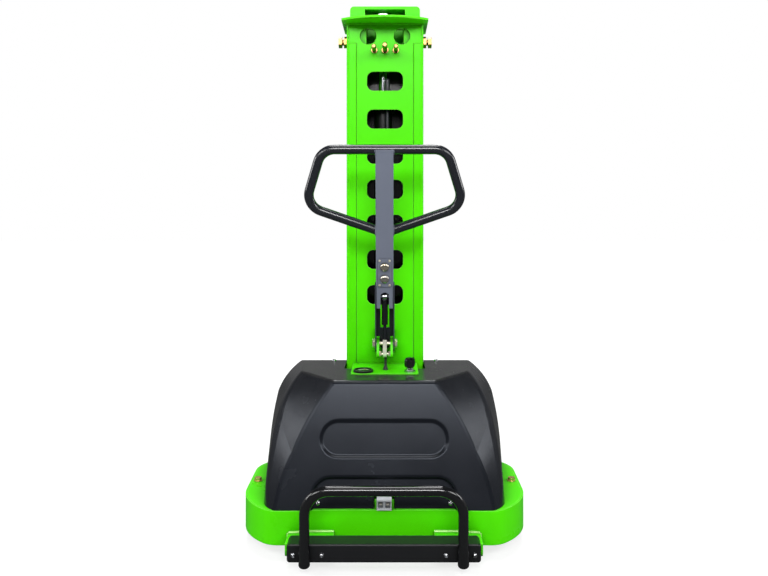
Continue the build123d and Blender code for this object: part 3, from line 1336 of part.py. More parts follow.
def tiller_yoke():
    """Two side plates welded to the bar and a web behind the strut that joins them."""
    inner = BAR_WIDTH / 2
    half_depth = YOKE_DEPTH / 2
    round_end = Pos(0, -YOKE_TAIL) * Circle(half_depth)
    outline = Pos(0, (YOKE_TOP - YOKE_TAIL) / 2) * Rectangle(YOKE_DEPTH, YOKE_TOP + YOKE_TAIL) + round_end
    outline -= Circle(PIVOT_PIN / 2 + RUNNING_FIT)
    plate = along_x(outline, inner, inner + YOKE_SIDE_PLATE)
    web_y = (half_depth - WEB_THICKNESS, half_depth)
    web = block((-inner, inner), web_y, (WEB_FOOT, BAR_FOOT))
    web -= block((-WEB_SLOT_WIDTH / 2, WEB_SLOT_WIDTH / 2), web_y, (WEB_SOLID_TOP, BAR_FOOT))
    tail_half = EAR_INNER_X - EAR_GAP
    tail = block((-tail_half, tail_half), web_y, (-WEB_TAIL, WEB_FOOT))
    tail = fillet(tail.edges().filter_by(Axis.Y).group_by(Axis.Z)[0], WEB_TAIL / 2)
    return plate + other_side(plate) + web + tail


def button_plate():
    """The plate on the bar's front with holes for the two buttons."""
    width, height, thickness = PLATE_SIZE
    front = -BAR_DEPTH / 2
    outline = Pos(0, PLATE_Z) * RectangleRounded(width, height, thickness)
    for z in BUTTON_Z:
        outline -= Pos(0, z) * Circle(BUTTON_DIAMETER / 2 + BUTTON_GAP)
    for x, z in rivet_places():
        outline -= Pos(x, z) * Circle(RIVET_DIAMETER / 4)
    return along_y(outline, front - thickness, front)


def rivet_places():
    return [(x, PLATE_Z + z) for x in (-RIVET_X, RIVET_X) for z in (-RIVET_Z, RIVET_Z)]


def plate_rivets():
    rivets = []
    front = -BAR_DEPTH / 2 - PLATE_SIZE[2]
    for x, z in rivet_places():
        rivet = bar((x, front, z), (x, front - RIVET_DIAMETER / 3, z), RIVET_DIAMETER)
        rivet = fillet(rivet.edges().group_by(Axis.Y)[0], RIVET_DIAMETER / 5)
        rivets.append(leaned(rivet + bar((x, front, z), (x, front + PLATE_SIZE[2], z), RIVET_DIAMETER / 2)))
    return rivets


def push_button(z):
    """A domed button that passes through the plate and is kept by a collar inside the bar."""
    plate_face = -BAR_DEPTH / 2 - PLATE_SIZE[2]
    inside = -BAR_DEPTH / 2 + BAR_WALL + ROLLER_GAP
    cap = bar((0, inside, z), (0, plate_face - BUTTON_RISE, z), BUTTON_DIAMETER)
    cap = fillet(cap.edges().group_by(Axis.Y)[0], BUTTON_RISE * 0.7)
    collar = bar((0, inside, z), (0, inside + BAR_WALL, z), BUTTON_DIAMETER + 2 * BAR_WALL)
    return cap + collar


def tiller_base():
    """The small plate on the mast panel that carries the ears, with a ledge, notched for the cable."""
    width, height, thickness = TILLER_BASE
    y = (PANEL_Y - thickness, PANEL_Y)
    low = TILLER_BASE_Z
    plate = block((-width / 2, width / 2), y, (low, low + height))
    ledge_z = (low, low + thickness / 2)
    ledge = block((-width / 2, width / 2), (y[0] - thickness, y[0]), ledge_z)
    notch_half = CABLE_DIAMETER / 2 + NOTCH_GAP
    ledge -= block((CABLE_X - notch_half, CABLE_X + notch_half), (y[0] - thickness, y[0]), ledge_z)
    return plate + ledge


def ear_outline():
    """The ear seen from the side: round at both pins and square on the base."""
    foot_y, foot_z = leaned_point(*STRUT_FOOT)
    base_y = PANEL_Y - TILLER_BASE[2]
    corners = Polyline((base_y, PIVOT_Z + EAR_RADIUS), (base_y, PIVOT_Z + EAR_RADIUS - EAR_HEIGHT / 2))
    pins = Pos(PIVOT_Y, PIVOT_Z) * Circle(EAR_RADIUS) + Pos(foot_y, foot_z) * Circle(EAR_RADIUS - 2)
    return make_hull(pins.edges() + corners.edges())


def tiller_ear():
    outer = EAR_OUTER_X
    ear = along_x(ear_outline(), EAR_INNER_X, outer)
    foot_y, foot_z = leaned_point(*STRUT_FOOT)
    ear -= bar((0, PIVOT_Y, PIVOT_Z), (outer, PIVOT_Y, PIVOT_Z), PIVOT_PIN)
    return ear - bar((0, foot_y, foot_z), (outer, foot_y, foot_z), STRUT_PIN)


def pinned(y, z, half, nut_start, diameter, across):
    """A cross pin with a nut on each side, which reaches outwards from a place on X."""
    pin = bar((-half, y, z), (half, y, z), diameter)
    nut_end = nut_start + NUT_RATIO * diameter
    for out in (-1, 1):
        pin += hexagon((out * nut_start, y, z), (out * nut_end, y, z), across)
    return pin


def pivot_pins():
    foot_y, foot_z = leaned_point(*STRUT_FOOT)
    yoke_out = BAR_WIDTH / 2 + YOKE_SIDE_PLATE + ROLLER_GAP
    pivot = pinned(PIVOT_Y, PIVOT_Z, yoke_out, yoke_out, PIVOT_PIN, PIVOT_NUT)
    inner_nut = EAR_INNER_X - NUT_RATIO * STRUT_PIN
    across = STRUT_PIN * BOLT_HEAD_RATIO
    return [pivot, pinned(foot_y, foot_z, EAR_OUTER_X, inner_nut, STRUT_PIN, across)]


def strut_frame():
    """A plane at the strut's top pin whose Z runs down the strut to its foot."""
    top_y, top_z = leaned_point(*STRUT_TOP)
    foot_y, foot_z = leaned_point(*STRUT_FOOT)
    return Plane(origin=(0, top_y, top_z), x_dir=(1, 0, 0), z_dir=(0, foot_y - top_y, foot_z - top_z))


def strut_length():
    return sqrt((STRUT_TOP[0] - STRUT_FOOT[0]) ** 2 + (STRUT_TOP[1] - STRUT_FOOT[1]) ** 2)


def strut_tube():
    """The strut's cylinder with an eye on the bar's pin."""
    half = STRUT_BLOCK[0] / 2
    eye = bar((-half, 0, 0), (half, 0, 0), STRUT_PIN * 2)
    eye += bar((0, 0, 0), (0, 0, STRUT_TUBE_START + half), STRUT_BLOCK[0])
    shape = eye + bar((0, 0, STRUT_TUBE_START), (0, 0, STRUT_TUBE_END), STRUT_TUBE)
    shape -= bar((-half, 0, 0), (half, 0, 0), STRUT_PIN + 2 * RUNNING_FIT)
    bore_start = STRUT_TUBE_START + half
    shape -= bar((0, 0, bore_start), (0, 0, STRUT_TUBE_END), STRUT_ROD + 2 * RUNNING_FIT)
    return strut_frame() * shape


def strut_rod():
    """The strut's rod with a block whose wide eye leaves play round the lower pin."""
    width, depth = STRUT_BLOCK
    foot = strut_length()
    rod = bar((0, 0, STRUT_TUBE_END - STRUT_ROD_INSIDE), (0, 0, foot - depth / 2), STRUT_ROD)
    end = Pos(0, foot) * Circle(depth / 2)
    end += Pos(0, foot - STRUT_BLOCK_LENGTH / 2) * Rectangle(depth, STRUT_BLOCK_LENGTH)
    end -= Pos(0, foot) * Circle(STRUT_PIN / 2 + STRUT_EYE_GAP)
    return strut_frame() * (rod + along_x(end, -width / 2, width / 2))


def all_nodes():
    """Every node's name and the solids in it."""
    nodes = {
        "deck_plate": [deck_plate()],
        "skirt_band": [skirt_band()],
        "bumper_brackets": both_sides(bumper_bracket()),
        "bumper_beam": [bumper_beam()],
        "guard_hoop": [guard_hoop()],
        "button_screws": button_screws(),
        "load_roller_axles": both_sides(load_axle()),
        "mast_front_panel": [mast_front_panel()],
        "mast_top_plate": [mast_top_plate()],
        "panel_studs": panel_studs(),
        "upper_roller_axles": both_sides(upper_roller_axle()),
        "instrument_shelf": [instrument_shelf()],
        "tiller_base": [tiller_base()],
        "tiller_ears": both_sides(tiller_ear()),
        "pivot_pins": pivot_pins(),
        "power_cover": [power_cover()],
        "rear_bulkheads": both_sides(rear_bulkhead()),
        "battery": [battery()],
        "oil_tank": [oil_tank()],
        "valve_block": [valve_block()],
        "pump_motor": [pump_motor()],
        "lift_hose": [lift_hose()],
        "cylinder_pipes": [return_pipe(), loop_pipe()],
        "lift_cylinder": [lift_cylinder()],
        "caster_top_plates": both_sides(caster_top_plate()),
        "caster_bolts": caster_bolts(),
        "charging_connector": [charging_connector()],
        "gauge_bezel": [gauge_bezel()],
        "gauge_lens": [gauge_lens()],
        "key_switch": [key_switch()],
        "control_cable": [control_cable()],
        "inner_channels": both_sides(inner_channel()),
        "inner_back_plate": [inner_back_plate()],
        "mast_head": [mast_head()],
        "piston_rod": [piston_rod()],
        "fork_carriage": [fork_carriage()],
        "upper_rollers": both_sides(upper_roller()),
        "lower_rollers": both_sides(lower_roller()),
        "tiller_bar": [leaned(tiller_bar())],
        "tiller_yoke": [leaned(tiller_yoke())],
        "handle_loop": [leaned(handle_loop())],
        "button_plate": [leaned(button_plate())],
        "plate_rivets": plate_rivets(),
        "lower_button": [leaned(push_button(BUTTON_Z[0]))],
        "raise_button": [leaned(push_button(BUTTON_Z[1]))],
        "strut_tube": [strut_tube()],
        "strut_rod": [strut_rod()],
        "key": [key()],
    }
    yoke, axle = caster_yoke()
    right_side = {
        "support_leg": [support_leg()],
        "mast_channel": [mast_channel()],
        "fork": [fork()],
        "caster_yoke": [yoke, axle],
        "caster_wheel": [caster_wheel()],
        "load_roller": [load_roller()],
    }
    for name, shapes in right_side.items():
        nodes[name + "_right"] = shapes
        nodes[name + "_left"] = [other_side(shape) for shape in shapes]
    return nodes


os.makedirs("parts", exist_ok=True)
for node, shapes in all_nodes().items():
    solids = [solid for shape in shapes for solid in shape.solids()]
    export_step(Compound(solids) if len(solids) > 1 else solids[0], f"parts/{node}.step")
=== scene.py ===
import json
import math

import bpy
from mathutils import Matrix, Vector


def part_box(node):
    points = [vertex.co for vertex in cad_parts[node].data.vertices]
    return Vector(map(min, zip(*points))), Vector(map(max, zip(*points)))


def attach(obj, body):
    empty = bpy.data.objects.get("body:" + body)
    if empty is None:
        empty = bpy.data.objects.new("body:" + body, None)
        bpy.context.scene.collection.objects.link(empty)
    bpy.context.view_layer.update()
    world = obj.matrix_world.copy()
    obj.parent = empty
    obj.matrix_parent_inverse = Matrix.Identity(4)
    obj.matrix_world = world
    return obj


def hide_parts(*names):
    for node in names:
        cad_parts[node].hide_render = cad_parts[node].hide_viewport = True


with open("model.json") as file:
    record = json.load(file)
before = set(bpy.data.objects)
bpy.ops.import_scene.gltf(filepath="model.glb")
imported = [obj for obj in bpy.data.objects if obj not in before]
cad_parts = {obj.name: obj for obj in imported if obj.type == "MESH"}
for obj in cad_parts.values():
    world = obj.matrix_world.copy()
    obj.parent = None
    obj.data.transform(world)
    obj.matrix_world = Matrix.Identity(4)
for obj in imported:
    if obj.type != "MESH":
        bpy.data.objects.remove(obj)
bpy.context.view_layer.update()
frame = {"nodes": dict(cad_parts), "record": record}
NODES = frame["nodes"]

# Places on the stacker, in metres
LOBE_AHEAD = 0.008
SKIRT_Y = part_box("skirt_band")[0].y + LOBE_AHEAD
MAST_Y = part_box("mast_channel_left")[0].y
MAST_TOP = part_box("mast_channel_left")[1].z
PIVOT_AHEAD = 0.060
PIVOT_HEIGHT = 0.478
PIVOT = Vector((0.0, MAST_Y - PIVOT_AHEAD, PIVOT_HEIGHT))
TILLER_LEAN = math.radians(15)
BAR_HALF = 0.023
STRUT_EYE_Z = 0.600
ROD_BLOCK_Z = 0.491
STRUT_CHANGE = 0.001
BRACKET_INNER_X = 0.120
LOOP_RADIUS = 0.0125
LOOP_TOP = 0.533
LOOP_ARM = 0.320
LOOP_ARM_STRETCH = 1.063
MOUTH_X = 0.0085

# Weld beads: step along the seam, ripples, radius on each seam, and arcs round the grip tube in degrees
BEAD_STEP = 0.0016
BEAD_SIDES = 8
BEAD_RIPPLE = 2.2
BEAD_LEAST = 0.82
BEAD_SWELL = 0.22
BEAD_WANDER = 0.06
BEAD_WANDER_RATE = 1.7
BEAD_END = 0.55
BRACKET_BEAD = 0.0042
BRACKET_BEAD_END = 3 * BEAD_STEP
RAY_START = 0.5
LOOP_BEAD = 0.0019
LOOP_BEAD_OUT = 0.0004
LOOP_BEAD_DEGREES = 6
LOOP_TOP_ARC = (-185, 5)
LOOP_ARM_ARC = (-90, 270)
MAST_BEAD = 0.0028

# The gauge's dial: heights above its seat, ticks over an arc in degrees, and needle
DIAL_GAP = 0.0008
DIAL_LOW = 0.0001
DIAL_TOP = 0.0004
DIAL_TICKS = 21
MAJOR_EVERY = 5
DIAL_START = 210
DIAL_ARC = 240
TICK_TOP = 0.0006
TICK_OUTER = 0.9
MAJOR_INNER = 0.66
MINOR_INNER = 0.76
MAJOR_HALF = 0.00055
MINOR_HALF = 0.0003
NEEDLE_DEGREES = 62
NEEDLE_TAIL = 0.2
NEEDLE_TIP = 0.8
NEEDLE_HEIGHTS = (0.0009, 0.0013)
NEEDLE_HALVES = (0.0009, 0.0002)
HUB_PROFILE = [(0, 0.0003), (0.0026, 0.0003), (0.0026, 0.0015), (0.0018, 0.0018), (0, 0.0019)]
HUB_SEGMENTS = 24
LENS_PROFILE = [(0, 0.0010), (1, 0.0014), (1, 0.0006), (0.7, 0.0002), (0, 0)]

# A connector blade: depth and rise along its spring, half its thickness and half its width
BLADE_CURVE = [(0.0025, 0.0), (0.0045, 0.0016), (0.0075, 0.0022), (0.0115, 0.0008), (0.0158, 0.0)]
BLADE_HALF_THICKNESS = 0.0009
BLADE_HALF_WIDTH = 0.0042


def colour(red, green, blue):
    """A colour given as 0 to 255 on a screen, as linear light."""
    def linear(value):
        share = value / 255
        return share / 12.92 if share <= 0.04045 else ((share + 0.055) / 1.055) ** 2.4

    return (linear(red), linear(green), linear(blue), 1.0)


WHITE = (1, 1, 1, 1)
LIME = colour(84, 234, 6)
# Lighter lime painted along edges as a highlight
LIME_EDGE_HIGHLIGHT = colour(166, 252, 112)
# Paler lime painted on the weld beads as a highlight
WELD_HIGHLIGHT_LIME = colour(178, 252, 124)
LIME_SHEEN = colour(250, 255, 236)
COVER_BLACK = colour(22, 24, 29)
GLOSS_BLACK = colour(15, 16, 18)
LOOP_BLACK = colour(26, 28, 34)
BEAM_BLACK = colour(25, 26, 28)
YOKE_SLATE = colour(60, 64, 73)
PIPE_GREY = colour(44, 46, 52)
DIAL_GREY = colour(236, 241, 234)
DIAL_INK = colour(24, 25, 27)
NEEDLE_RED = colour(196, 40, 28)
COOL_SHEEN = colour(232, 240, 255)
SLATE = colour(110, 116, 131)
GOLD_ZINC = colour(212, 182, 116)
BRONZE_ZINC = colour(138, 108, 66)
NICKEL = colour(232, 226, 212)
STEEL = colour(178, 180, 184)
ZINC = colour(150, 153, 158)
CHROME = colour(190, 193, 197)
NYLON = colour(222, 219, 208)
RUBBER = colour(30, 30, 31)
PACK_GREY = colour(62, 63, 66)
ALUMINIUM = colour(206, 208, 212)
IRON = colour(48, 49, 51)
PLUG_GREY = colour(208, 212, 217)
DUST = colour(176, 172, 160)


# Shader building


def put(tree, kind, values=None, **settings):
    """Adds a node to a tree, with its settings and the values of its unlinked inputs."""
    node = tree.nodes.new(kind)
    for name, value in settings.items():
        setattr(node, name, value)
    for name, value in (values or {}).items():
        node.inputs[name].default_value = value
    return node


def effect(name, inputs, outputs):
    """An empty effect group with named float or colour inputs and outputs."""
    tree = bpy.data.node_groups.new(name, "ShaderNodeTree")
    for label, kind, value in inputs:
        socket = tree.interface.new_socket(label, in_out="INPUT", socket_type="NodeSocket" + kind)
        socket.default_value = value
    for label, kind in outputs:
        tree.interface.new_socket(label, in_out="OUTPUT", socket_type="NodeSocket" + kind)
    return tree, tree.nodes.new("NodeGroupInput"), tree.nodes.new("NodeGroupOutput")


def make_cloudy_tone():
    """Slow drift of a colour over a surface, as paint and plating have."""
    tree, given, result = effect(
        "cloudy_tone",
        [("Colour", "Color", (0.5, 0.5, 0.5, 1)), ("Depth", "Float", 0.06), ("Scale", "Float", 7.0)],
        [("Colour", "Color"), ("Cloud", "Float")],
    )
    link = tree.links.new
    place = put(tree, "ShaderNodeTexCoord")
    cloud = put(tree, "ShaderNodeTexNoise", {"Detail": 4.0, "Roughness": 0.6})
    low = put(tree, "ShaderNodeMath", {0: 1.0}, operation="SUBTRACT")
    high = put(tree, "ShaderNodeMath", {0: 1.0}, operation="ADD")
    gain = put(tree, "ShaderNodeMapRange", {"From Min": 0.3, "From Max": 0.7})
    tinted = put(tree, "ShaderNodeVectorMath", operation="SCALE")
    link(place.outputs["Object"], cloud.inputs["Vector"])
    link(given.outputs["Scale"], cloud.inputs["Scale"])
    link(given.outputs["Depth"], low.inputs[1])
    link(given.outputs["Depth"], high.inputs[1])
    link(cloud.outputs[0], gain.inputs["Value"])
    link(low.outputs[0], gain.inputs["To Min"])
    link(high.outputs[0], gain.inputs["To Max"])
    link(given.outputs["Colour"], tinted.inputs[0])
    link(gain.outputs[0], tinted.inputs["Scale"])
    link(tinted.outputs[0], result.inputs["Colour"])
    link(cloud.outputs[0], result.inputs["Cloud"])
    return tree


def make_fine_texture():
    """A fine bumpy skin: orange peel on paint, grain on moulded plastic."""
    tree, given, result = effect(
        "fine_texture", [("Scale", "Float", 500.0), ("Pits", "Float", 0.0)], [("Height", "Float")]
    )
    link = tree.links.new
    place = put(tree, "ShaderNodeTexCoord")
    waves = put(tree, "ShaderNodeTexNoise", {"Detail": 2.0, "Roughness": 0.45})
    pits = put(tree, "ShaderNodeTexVoronoi", feature="SMOOTH_F1")
    mixed = put(tree, "ShaderNodeMix", data_type="FLOAT")
    link(place.outputs["Object"], waves.inputs["Vector"])
    link(place.outputs["Object"], pits.inputs["Vector"])
    link(given.outputs["Scale"], waves.inputs["Scale"])
    link(given.outputs["Scale"], pits.inputs["Scale"])
    link(given.outputs["Pits"], mixed.inputs[0])
    link(waves.outputs[0], mixed.inputs[2])
    link(pits.outputs["Distance"], mixed.inputs[3])
    link(mixed.outputs[0], result.inputs["Height"])
    return tree


def make_soft_edges():
    """The small rounding that every real edge has, as a normal and as a mask along the edges."""
    tree, given, result = effect(
        "soft_edges", [("Radius", "Float", 0.0012)], [("Normal", "Vector"), ("Edge", "Float")]
    )
    link = tree.links.new
    rounding = put(tree, "ShaderNodeBevel", samples=6)
    surface = put(tree, "ShaderNodeNewGeometry")
    facing = put(tree, "ShaderNodeVectorMath", operation="DOT_PRODUCT")
    mask = put(tree, "ShaderNodeMapRange", {"From Min": 0.995, "From Max": 0.85})
    link(given.outputs["Radius"], rounding.inputs["Radius"])
    link(rounding.outputs["Normal"], facing.inputs[0])
    link(surface.outputs["Normal"], facing.inputs[1])
    link(facing.outputs["Value"], mask.inputs["Value"])
    link(rounding.outputs["Normal"], result.inputs["Normal"])
    link(mask.outputs[0], result.inputs["Edge"])
    return tree


def make_scuffs():
    """Broken streaks left by handling, drawn out along one direction."""
    tree, given, result = effect(
        "scuffs",
        [("Scale", "Float", 18.0), ("Stretch", "Vector", (1.0, 1.0, 0.15)), ("Cover", "Float", 0.1)],
        [("Mask", "Float")],
    )
    link = tree.links.new
    place = put(tree, "ShaderNodeTexCoord")
    drawn = put(tree, "ShaderNodeVectorMath", operation="MULTIPLY")
    streaks = put(tree, "ShaderNodeTexNoise", {"Detail": 7.0, "Roughness": 0.72})
    start = put(tree, "ShaderNodeMath", {0: 0.78}, operation="SUBTRACT")
    mask = put(tree, "ShaderNodeMapRange", {"From Max": 0.8})
    link(place.outputs["Object"], drawn.inputs[0])
    link(given.outputs["Stretch"], drawn.inputs[1])
    link(drawn.outputs[0], streaks.inputs["Vector"])
    link(given.outputs["Scale"], streaks.inputs["Scale"])
    link(given.outputs["Cover"], start.inputs[1])
    link(streaks.outputs[0], mask.inputs["Value"])
    link(start.outputs[0], mask.inputs["From Min"])
    link(mask.outputs[0], result.inputs["Mask"])
    return tree


def make_settled_dust():
    """A thin broken film on what faces up."""
    tree, given, result = effect("settled_dust", [("Amount", "Float", 0.1)], [("Mask", "Float")])
    link = tree.links.new
    surface = put(tree, "ShaderNodeNewGeometry")
    axes = put(tree, "ShaderNodeSeparateXYZ")
    upward = put(tree, "ShaderNodeMapRange", {"From Min": 0.55, "From Max": 1.0})
    place = put(tree, "ShaderNodeTexCoord")
    film = put(tree, "ShaderNodeTexNoise", {"Scale": 26.0, "Detail": 6.0, "Roughness": 0.7})
    patchy = put(tree, "ShaderNodeMath", operation="MULTIPLY")
    mask = put(tree, "ShaderNodeMath", operation="MULTIPLY")
    link(surface.outputs["Normal"], axes.inputs[0])
    link(axes.outputs["Z"], upward.inputs["Value"])
    link(place.outputs["Object"], film.inputs["Vector"])
    link(upward.outputs[0], patchy.inputs[0])
    link(film.outputs[0], patchy.inputs[1])
    link(patchy.outputs[0], mask.inputs[0])
    link(given.outputs["Amount"], mask.inputs[1])
    link(mask.outputs[0], result.inputs["Mask"])
    return tree


def make_hollow_shade():
    """Darkens a colour in slots, holes and inner corners, where little light comes."""
    tree, given, result = effect(
        "hollow_shade",
        [("Colour", "Color", (0.5, 0.5, 0.5, 1)), ("Reach", "Float", 0.06)],
        [("Colour", "Color")],
    )
    link = tree.links.new
    opening = put(tree, "ShaderNodeAmbientOcclusion", samples=6)
    shade = put(tree, "ShaderNodeMapRange", {"From Min": 0.15, "From Max": 0.85, "To Min": 0.12})
    darker = put(tree, "ShaderNodeVectorMath", operation="SCALE")
    link(given.outputs["Reach"], opening.inputs["Distance"])
    link(opening.outputs["AO"], shade.inputs["Value"])
    link(given.outputs["Colour"], darker.inputs[0])
    link(shade.outputs[0], darker.inputs["Scale"])
    link(darker.outputs[0], result.inputs["Colour"])
    return tree


CLOUDY_TONE = make_cloudy_tone()
FINE_TEXTURE = make_fine_texture()
SOFT_EDGES = make_soft_edges()
SCUFFS = make_scuffs()
SETTLED_DUST = make_settled_dust()
HOLLOW_SHADE = make_hollow_shade()


def start_finish(name):
    """A new material with only its output and surface shader."""
    finish = bpy.data.materials.new(name)
    finish.use_nodes = True
    tree = finish.node_tree
    return finish, tree, tree.nodes["Principled BSDF"]


def use(tree, group, values):
    """Places an effect group in a material."""
    return put(tree, "ShaderNodeGroup", values, node_tree=group)


def mix_colours(tree, factor, first, second):
    """Mixes a colour output with a plain colour, by a mask."""
    node = put(tree, "ShaderNodeMix", data_type="RGBA")
    node.inputs[7].default_value = second
    tree.links.new(factor, node.inputs[0])
    tree.links.new(first, node.inputs[6])
    return node.outputs[2]


def spread(tree, value, low, high):
    """Turns a 0.3 to 0.7 cloud into a range of values."""
    node = put(tree, "ShaderNodeMapRange", {"From Min": 0.3, "From Max": 0.7, "To Min": low, "To Max": high})
    tree.links.new(value, node.inputs["Value"])
    return node.outputs[0]


def bumped(tree, shader, height, strength, depth, radius):
    """Feeds a height and soft edges to a shader's normal, and returns the edge mask."""
    edges = use(tree, SOFT_EDGES, {"Radius": radius})
    bump = put(tree, "ShaderNodeBump", {"Strength": strength, "Distance": depth})
    tree.links.new(height, bump.inputs["Height"])
    tree.links.new(edges.outputs["Normal"], bump.inputs["Normal"])
    tree.links.new(bump.outputs["Normal"], shader.inputs["Normal"])
    return edges.outputs["Edge"]


def painted(name, tone, edge_highlight_tone, roughness, shine, coat=0.0, tint=WHITE, dust=0.05, peel=0.12, edge=0.0014):
    """Sprayed metal: orange peel, slow drift of tone, a painted highlight along the edges, painted shade in
    hollows and a little dust.
    """
    finish, tree, shader = start_finish(name)
    link = tree.links.new
    drift = use(tree, CLOUDY_TONE, {"Colour": tone, "Depth": 0.05, "Scale": 5.0})
    skin = use(tree, FINE_TEXTURE, {"Scale": 420.0, "Pits": 0.0})
    edges = bumped(tree, shader, skin.outputs["Height"], peel, 0.0006, edge)
    # Painted highlight: half the edge mask mixes the lighter edge tone into the paint
    thin = put(tree, "ShaderNodeMath", {1: 0.5}, operation="MULTIPLY")
    link(edges, thin.inputs[0])
    edge_highlit = mix_colours(tree, thin.outputs[0], drift.outputs["Colour"], edge_highlight_tone)
    film = use(tree, SETTLED_DUST, {"Amount": dust})
    # Painted shade: the colour is darkened in slots, holes and inner corners
    shaded = use(tree, HOLLOW_SHADE, {"Reach": 0.06})
    link(mix_colours(tree, film.outputs["Mask"], edge_highlit, DUST), shaded.inputs["Colour"])
    link(shaded.outputs["Colour"], shader.inputs["Base Color"])
    link(spread(tree, drift.outputs["Cloud"], roughness * 0.85, roughness * 1.2), shader.inputs["Roughness"])
    shader.inputs["Specular IOR Level"].default_value = shine
    shader.inputs["Specular Tint"].default_value = tint
    shader.inputs["Coat Weight"].default_value = coat
    shader.inputs["Coat Roughness"].default_value = 0.08
    return finish


def plated(name, tone, roughness, stretch, other_tone, metallic=1.0):
    """Bare or plated metal: fine turning lines and a drift towards a second tone."""
    finish, tree, shader = start_finish(name)
    link = tree.links.new
    tint = use(tree, CLOUDY_TONE, {"Colour": tone, "Depth": 0.08, "Scale": 45.0})
    lines = use(tree, SCUFFS, {"Scale": 260.0, "Stretch": stretch, "Cover": 0.35})
    skin = use(tree, FINE_TEXTURE, {"Scale": 900.0, "Pits": 0.0})
    bumped(tree, shader, skin.outputs["Height"], 0.06, 0.0003, 0.0006)
    lined = mix_colours(tree, lines.outputs["Mask"], tint.outputs["Colour"], other_tone)
    link(lined, shader.inputs["Base Color"])
    link(spread(tree, tint.outputs["Cloud"], roughness * 0.7, roughness * 1.3), shader.inputs["Roughness"])
    shader.inputs["Metallic"].default_value = metallic
    return finish


def moulded(name, tone, roughness, grain_scale, grain, specular=0.5, pits=0.6, dust=0.08, sheen=WHITE):
    """Moulded plastic or rubber: fine grain, soft edges and a little dust on top."""
    finish, tree, shader = start_finish(name)
    link = tree.links.new
    tint = use(tree, CLOUDY_TONE, {"Colour": tone, "Depth": 0.07, "Scale": 9.0})
    skin = use(tree, FINE_TEXTURE, {"Scale": grain_scale, "Pits": pits})
    bumped(tree, shader, skin.outputs["Height"], grain, 0.0005, 0.0016)
    film = use(tree, SETTLED_DUST, {"Amount": dust})
    link(mix_colours(tree, film.outputs["Mask"], tint.outputs["Colour"], DUST), shader.inputs["Base Color"])
    link(spread(tree, tint.outputs["Cloud"], roughness * 0.9, roughness * 1.12), shader.inputs["Roughness"])
    shader.inputs["Specular IOR Level"].default_value = specular
    shader.inputs["Specular Tint"].default_value = sheen
    return finish


def clear_lens(name):
    """The gauge's clear cover, with the faintest waviness."""
    finish, tree, shader = start_finish(name)
    skin = use(tree, FINE_TEXTURE, {"Scale": 60.0, "Pits": 0.0})
    bumped(tree, shader, skin.outputs["Height"], 0.02, 0.0004, 0.0008)
    shader.inputs["Base Color"].default_value = (0.94, 0.96, 0.95, 1)
    shader.inputs["Roughness"].default_value = 0.04
    shader.inputs["IOR"].default_value = 1.08
    shader.inputs["Transmission Weight"].default_value = 1.0
    return finish


def strut_finish(name, height, low_tone, high_tone, low_metal, high_metal):
    """A strut piece whose eye and shaft have two finishes, told apart by their height on the piece."""
    finish, tree, shader = start_finish(name)
    link = tree.links.new
    place = put(tree, "ShaderNodeTexCoord")
    axes = put(tree, "ShaderNodeSeparateXYZ")
    upper = put(tree, "ShaderNodeMapRange", {"From Min": height, "From Max": height + STRUT_CHANGE})
    metal = put(tree, "ShaderNodeMapRange", {"To Min": low_metal, "To Max": high_metal})
    drift = use(tree, CLOUDY_TONE, {"Colour": low_tone, "Depth": 0.06, "Scale": 30.0})
    skin = use(tree, FINE_TEXTURE, {"Scale": 800.0, "Pits": 0.0})
    bumped(tree, shader, skin.outputs["Height"], 0.06, 0.0003, 0.0008)
    link(place.outputs["Object"], axes.inputs[0])
    link(axes.outputs["Z"], upper.inputs["Value"])
    link(upper.outputs[0], metal.inputs["Value"])
    link(mix_colours(tree, upper.outputs[0], drift.outputs["Colour"], high_tone), shader.inputs["Base Color"])
    link(metal.outputs[0], shader.inputs["Metallic"])
    link(spread(tree, drift.outputs["Cloud"], 0.18, 0.28), shader.inputs["Roughness"])
    return finish


# Directions in which turning lines and scuffs are drawn out
EVEN = (1.0, 1.0, 1.0)
UPRIGHT = (1.0, 1.0, 0.05)
ACROSS = (0.1, 1.0, 1.0)
